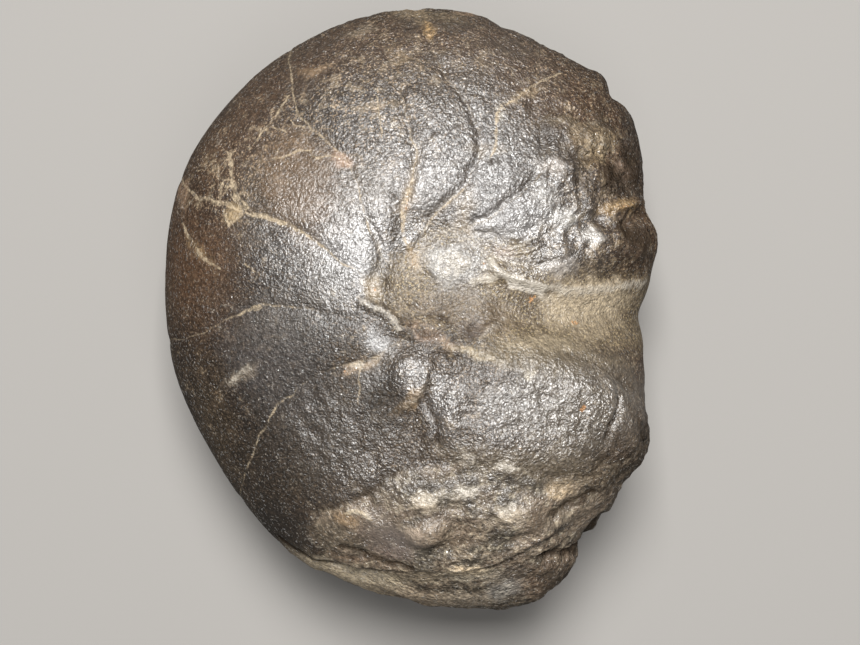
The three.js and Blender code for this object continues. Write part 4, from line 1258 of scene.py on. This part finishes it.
class Stone(Maker):
    """The fossil's stone: a dark glossy skin, duller rock and filling, and the marks and lines on them."""

    def __init__(self):
        super().__init__("fossil stone")
        self.fill = self.attribute("fill")
        self.rock = self.attribute("rock")
        self.rugged = self.attribute("rugged")
        self.coarse = self.attribute("coarse")
        self.polish = self.attribute("polish")
        self.tan = self.attribute("tan")
        self.from_septum = self.attribute("septum_distance")
        self.broad = self.noise(14.0, 3)
        self.medium = self.noise(3.2, 4, 0.6)
        self.small = self.noise(1.2, 3, 0.6)
        self.grain = self.noise(0.55, 2, 0.6)
        self.speck = self.noise(0.40, 1, 0.5)
        self.crease = self.between(self.cell_edge(0.95, self.warped(0.7, 1.0)), 0.0, 0.24, 1.0, 0.0)
        self.glint = self.between(self.noise(0.6, 1, 0.5), 0.60, 0.68)
        self.matte = 1.0 - self.between(self.polish, 0.1, 0.7)
        self.find_marks()
        self.find_lines()

    def surface_height(self):
        """Millimetres for the bump: valleys of three sizes where noise crosses its middle, shallower on rock;
        a finer grain; raised glints; and rubble where the rock is rugged."""
        folds = abs(self.noise(2.8, 3) - 0.5) * 1.1 + abs(self.noise(1.3, 2) - 0.5) * 0.65
        folds = folds + abs(self.noise(0.7, 2) - 0.5) * 0.45
        skin = folds + (self.noise(2.0, 1) - 0.5) * 0.2 - self.crease * 0.05
        worn_rock = self.larger(self.rock - self.rugged, 0.0)
        strength = 1.0 - self.rock * 0.3 - worn_rock * 0.5
        skin = skin * (self.coarse * 0.6 + 0.4) * strength
        rubble = (self.noise(2.0, 3, 0.65) - 0.5) * (self.rugged * 0.9 + self.rock * 0.12)
        return skin + (self.grain - 0.5) * (0.34 - self.coarse * 0.12) + self.glint * 0.12 + rubble

    def skin_colour(self):
        """Brownish black, browner and scuffed in places, with mud and freckles."""
        brown = self.attribute("brown") * self.between(self.broad + self.small * 0.4, 0.4, 0.9, 0.4, 1.0)
        scuffs = self.between(self.medium, 0.5, 0.72) * (0.2 + self.tan * 0.4)
        mud = self.between(self.small * 0.55 + self.medium * 0.45 + self.tan * 0.10, 0.56, 0.66)
        freckles = self.between(self.speck, 0.57, 0.67) * (self.tan * 0.4 + self.coarse * 0.15 + 0.16)
        colour = self.mix(self.between(self.broad, 0.35, 0.65), *SKIN)
        colour = self.mix(self.coarse * 0.6, colour, COARSE_SKIN)
        colour = self.mix(brown, colour, BROWN_SKIN)
        colour = self.mix(scuffs, colour, SCUFFED_SKIN)
        colour = self.mix(mud * 0.5, colour, self.mix(self.speck, *DRIED_MUD))
        colour = self.mix(freckles, colour, FRECKLES)
        mottle = self.between(self.small * 0.6 + self.medium * 0.4, 0.47, 0.58)
        mottle = mottle * self.between(self.attribute("corner"), 0.1, 0.6)
        return self.mix(mottle * 0.4, colour, CORNER_MOTTLE)

    def filling_colour(self):
        """Olive brown with pale specks."""
        colour = self.mix(self.between(self.medium, 0.35, 0.68), *FILLING)
        return self.mix(self.between(self.speck, 0.54, 0.66) * 0.45, colour, FILLING_SPECKS)

    def rock_colour(self):
        """Greyish brown with lighter patches, pale crusts and dark hollows."""
        colour = self.mix(self.between(self.noise(7.0, 3), 0.4, 0.6), *ROCK)
        colour = self.mix(self.between(self.medium, 0.45, 0.68) * 0.8, colour, ROCK_PATCHES)
        colour = self.mix(self.between(self.small, 0.53, 0.68) * 0.55, colour, ROCK_CRUST)
        return self.mix(self.between(self.small, 0.32, 0.47, 1.0, 0.0) * 0.65, colour, ROCK_HOLLOWS)

    def stained_and_painted_light(self, colour):
        """The stains and the painted highlights and shade among them, lighter and darker with the small
        noise, over the colour.
        """
        cover = self.attribute("stain_and_painted_light_cover") + (self.small - 0.5) * 0.5 + (self.medium - 0.5) * 0.4
        cover = self.between(cover, 0.1, 0.8)
        tint = self.scaled(self.attribute("stain_and_painted_light", "Color"), 0.6 + self.small * 0.8)
        return self.mix(cover * 0.7, colour, tint)

    def grained(self, colour):
        """Grey flecks that are partly painted glints, dark creases and pits, and a lighter and darker grit,
        stronger where it is matte.
        """
        # grey flecks: partly mineral grains, partly painted glints
        flecks_and_glints = self.between(self.noise(0.45, 2, 0.6), 0.61, 0.72)
        flecks_and_glints = flecks_and_glints * self.between(self.noise(2.2, 3), 0.45, 0.62, 0.0, 0.5)
        pits = self.between(self.grain, 0.32, 0.46, 1.0, 0.0)
        grit = self.between(self.noise(0.75, 2, 0.6), 0.40, 0.60, 0.72, 1.28)
        colour = self.mix(flecks_and_glints * (1.0 - self.fill * 0.6), colour, GREY_FLECKS_AND_GLINTS)
        colour = self.mix(self.crease * self.coarse * 0.6, colour, CREASES)
        colour = self.mix(pits * 0.4, colour, PITS)
        return self.scaled(colour, 1.0 + (grit - 1.0) * (self.matte * 0.7 + 0.3))

    def find_marks(self):
        """Where the skin is rubbed pale or painted with a highlight, dark with dirt and painted shade, or
        rusty, with ragged outlines.
        """
        uneven, speckled = self.small - 0.5, self.speck - 0.5
        self.pale = self.between(self.attribute("pale") + uneven * 1.0 + speckled * 0.6, 0.35, 0.95)
        self.dirt_and_shade = self.between(self.attribute("dirt_and_shade") + uneven * 0.5, 0.2, 0.8)
        self.rust = self.between(self.attribute("rust") + uneven * 1.2 + speckled * 1.2, 0.65, 1.05)

    def find_lines(self):
        """The pale lines of the septa and the veins, which wander and break up, and the mud beside septa."""
        wander = (self.noise(1.6, 3) - 0.5) * 0.9
        ragged = (self.grain - 0.5) * 0.8
        line = self.attribute("septum_line")
        thick = line * 0.20 * self.between(self.noise(5.0, 2), 0.3, 0.6, 0.2, 1.2)
        seam = self.between(self.from_septum + wander * 0.5 + ragged - thick, -0.16, 0.18, 1.0, 0.0)
        seam = seam * self.between(line, 0.05, 0.6) * (1.0 - self.fill)
        across = abs(self.attribute("vein_across") + wander)
        width = self.attribute("vein_width") * self.between(self.noise(2.2, 2), 0.3, 0.6, 0.2, 0.8)
        vein = self.between(across + ragged - width, -0.18, 0.14, 1.0, 0.0)
        vein = vein * self.between(self.attribute("vein_distance") - width, 0.3, 0.7, 1.0, 0.0)
        broken = self.between(self.noise(1.4, 3, 0.65), 0.36, 0.6)
        lines = self.between(self.grain, 0.3, 0.52, 0.5, 1.0) * self.larger(seam, vein)
        self.lines = lines * self.between(broken, 0.0, 1.0, 0.3, 1.0)
        mud = self.between(self.from_septum + ragged * 0.5 - line * 0.4, -0.6, 0.9, 1.0, 0.0)
        mud = mud * self.between(line, 0.3, 0.9) * self.between(self.coarse, 0.2, 0.7)
        self.mud = mud * (1.0 - self.fill)

    def colour(self):
        """Filling and rock over the skin, then stains with some painted highlights and shade, and grain, and
        the marks and lines on top, some of them painted shade.
        """
        colour = self.mix(self.fill, self.skin_colour(), self.filling_colour())
        colour = self.mix(self.rock, colour, self.rock_colour())
        colour = self.grained(self.stained_and_painted_light(colour))
        # rubbed pale patches and ridges, and a few painted highlights
        colour = self.mix(self.pale * 0.75, colour, self.mix(self.medium, *RUBBED_PALE_AND_PAINTED_HIGHLIGHT))
        # dirt, and painted shade along grooves and cracks and beside the dome on the broken end
        colour = self.mix(self.dirt_and_shade * 0.8, colour, DARK_DIRT_AND_SHADE)
        colour = self.mix(self.rust * 0.6, colour, RUST)
        colour = self.mix(self.mud * 0.6, colour, self.mix(self.small, *SEPTUM_MUD))
        return self.mix(self.lines * 0.75, colour, self.mix(self.speck, *PALE_LINES))

    def gloss(self):
        """The share of the glossy shader: more where polished and at glints, less in creases and marks."""
        soil = self.larger(self.larger(self.lines, self.mud * 0.6), self.larger(self.dirt_and_shade, self.rust))
        unsoiled = 1.0 - soil * 0.7
        gloss = (self.polish * (0.57 - self.fill * 0.25) + 0.10) * unsoiled
        gloss = gloss * (1.0 - self.crease * self.coarse * 0.4)
        gloss = gloss * self.between(self.medium, 0.3, 0.55, 0.7, 1.0)
        return self.larger(gloss, self.glint * unsoiled * (0.4 + self.matte * 0.25))


def stone_material():
    """A dull shader and a glossy, coated one, mixed by the gloss."""
    stone = Stone()
    colour = stone.colour()
    relief = {"Height": stone.surface_height(), "Strength": 1.0, "Distance": MM}
    bump = stone.node("ShaderNodeBump", None, relief)
    dull = stone.shader(Base_Color=colour, Roughness=0.7, Specular_IOR_Level=0.0, Normal=bump)
    roughness = 0.41 + (stone.medium - 0.5) * 0.2 - stone.glint * 0.12
    glossy = stone.shader(
        Base_Color=colour, Roughness=roughness, IOR=2.6, Normal=bump,
        Coat_Weight=0.5, Coat_Roughness=0.55, Coat_IOR=1.5,
    )
    return stone.finish(stone.node("ShaderNodeMixShader", None, {0: stone.gloss(), 1: dull, 2: glossy}))


def floor_material():
    """Matte and pale grey."""
    maker = Maker("pale floor")
    return maker.finish(maker.shader(Base_Color=(*srgb(*FLOOR), 1), Roughness=0.85))


# ------------------------------------------------------------------------------------------------------
# The stage, in metres, and the camera, in millimetres

FLOOR_REACH = 3.0
# Square soft lights: name, place, side and watts. Both shine at AIM.
LIGHTS = [
    ("key", (0.0, 0.32, 1.08), 0.34, 31.0),
    ("fill", (0.08, -0.20, 1.08), 0.5, 4.5),
]
AIM = (0, 0, 0.06)
LIGHT_COLOUR = (1.0, 0.99, 0.975)
WORLD_STRENGTH = 0.12

CAMERA_HEIGHT = 385.0  # above the whorl's middle plane
FRAME_WIDTH = 174.8  # what the frame shows of that plane
CAMERA_PLACE = (-1.31, -10.21)  # from the coil axis, in plan
SENSOR_WIDTH = 36.0


def make_floor():
    corners = [(x * FLOOR_REACH, y * FLOOR_REACH, 0) for x, y in ((-1, -1), (1, -1), (1, 1), (-1, 1))]
    mesh = bpy.data.meshes.new("floor")
    mesh.from_pydata(corners, [], [(0, 1, 2, 3)])
    floor = bpy.data.objects.new("floor", mesh)
    bpy.context.scene.collection.objects.link(floor)
    floor.data.materials.append(floor_material())


def add_light(name, place, side, watts):
    lamp = bpy.data.lights.new(name, "AREA")
    lamp.shape = "SQUARE"
    lamp.size = side
    lamp.energy = watts
    lamp.color = LIGHT_COLOUR
    light = bpy.data.objects.new(name, lamp)
    light.location = place
    light.rotation_euler = (Vector(AIM) - Vector(place)).to_track_quat("-Z", "Y").to_euler()
    bpy.context.scene.collection.objects.link(light)


def make_camera(axis):
    """Looks straight down; `axis` is where the coil axis is."""
    lens = bpy.data.cameras.new("camera")
    lens.sensor_width = SENSOR_WIDTH
    lens.lens = SENSOR_WIDTH * CAMERA_HEIGHT / FRAME_WIDTH
    lens.clip_start = 0.01
    camera = bpy.data.objects.new("camera", lens)
    x, y = axis[0] + CAMERA_PLACE[0], axis[1] + CAMERA_PLACE[1]
    camera.location = (x * MM, y * MM, (REST_HEIGHT + CAMERA_HEIGHT) * MM)
    bpy.context.scene.collection.objects.link(camera)
    bpy.context.scene.camera = camera


def light_stage():
    world = bpy.data.worlds.new("studio")
    world.use_nodes = True
    background = world.node_tree.nodes["Background"]
    background.inputs["Color"].default_value = (1, 1, 1, 1)
    background.inputs["Strength"].default_value = WORLD_STRENGTH
    bpy.context.scene.world = world
    for light in LIGHTS:
        add_light(*light)
    bpy.context.scene.view_settings.view_transform = "Standard"


cast_piece, cast_axis = make_cast()
cast_piece.data.materials.append(stone_material())
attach(cast_piece, "root")
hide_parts(NODE)
make_floor()
make_camera(cast_axis)
light_stage()
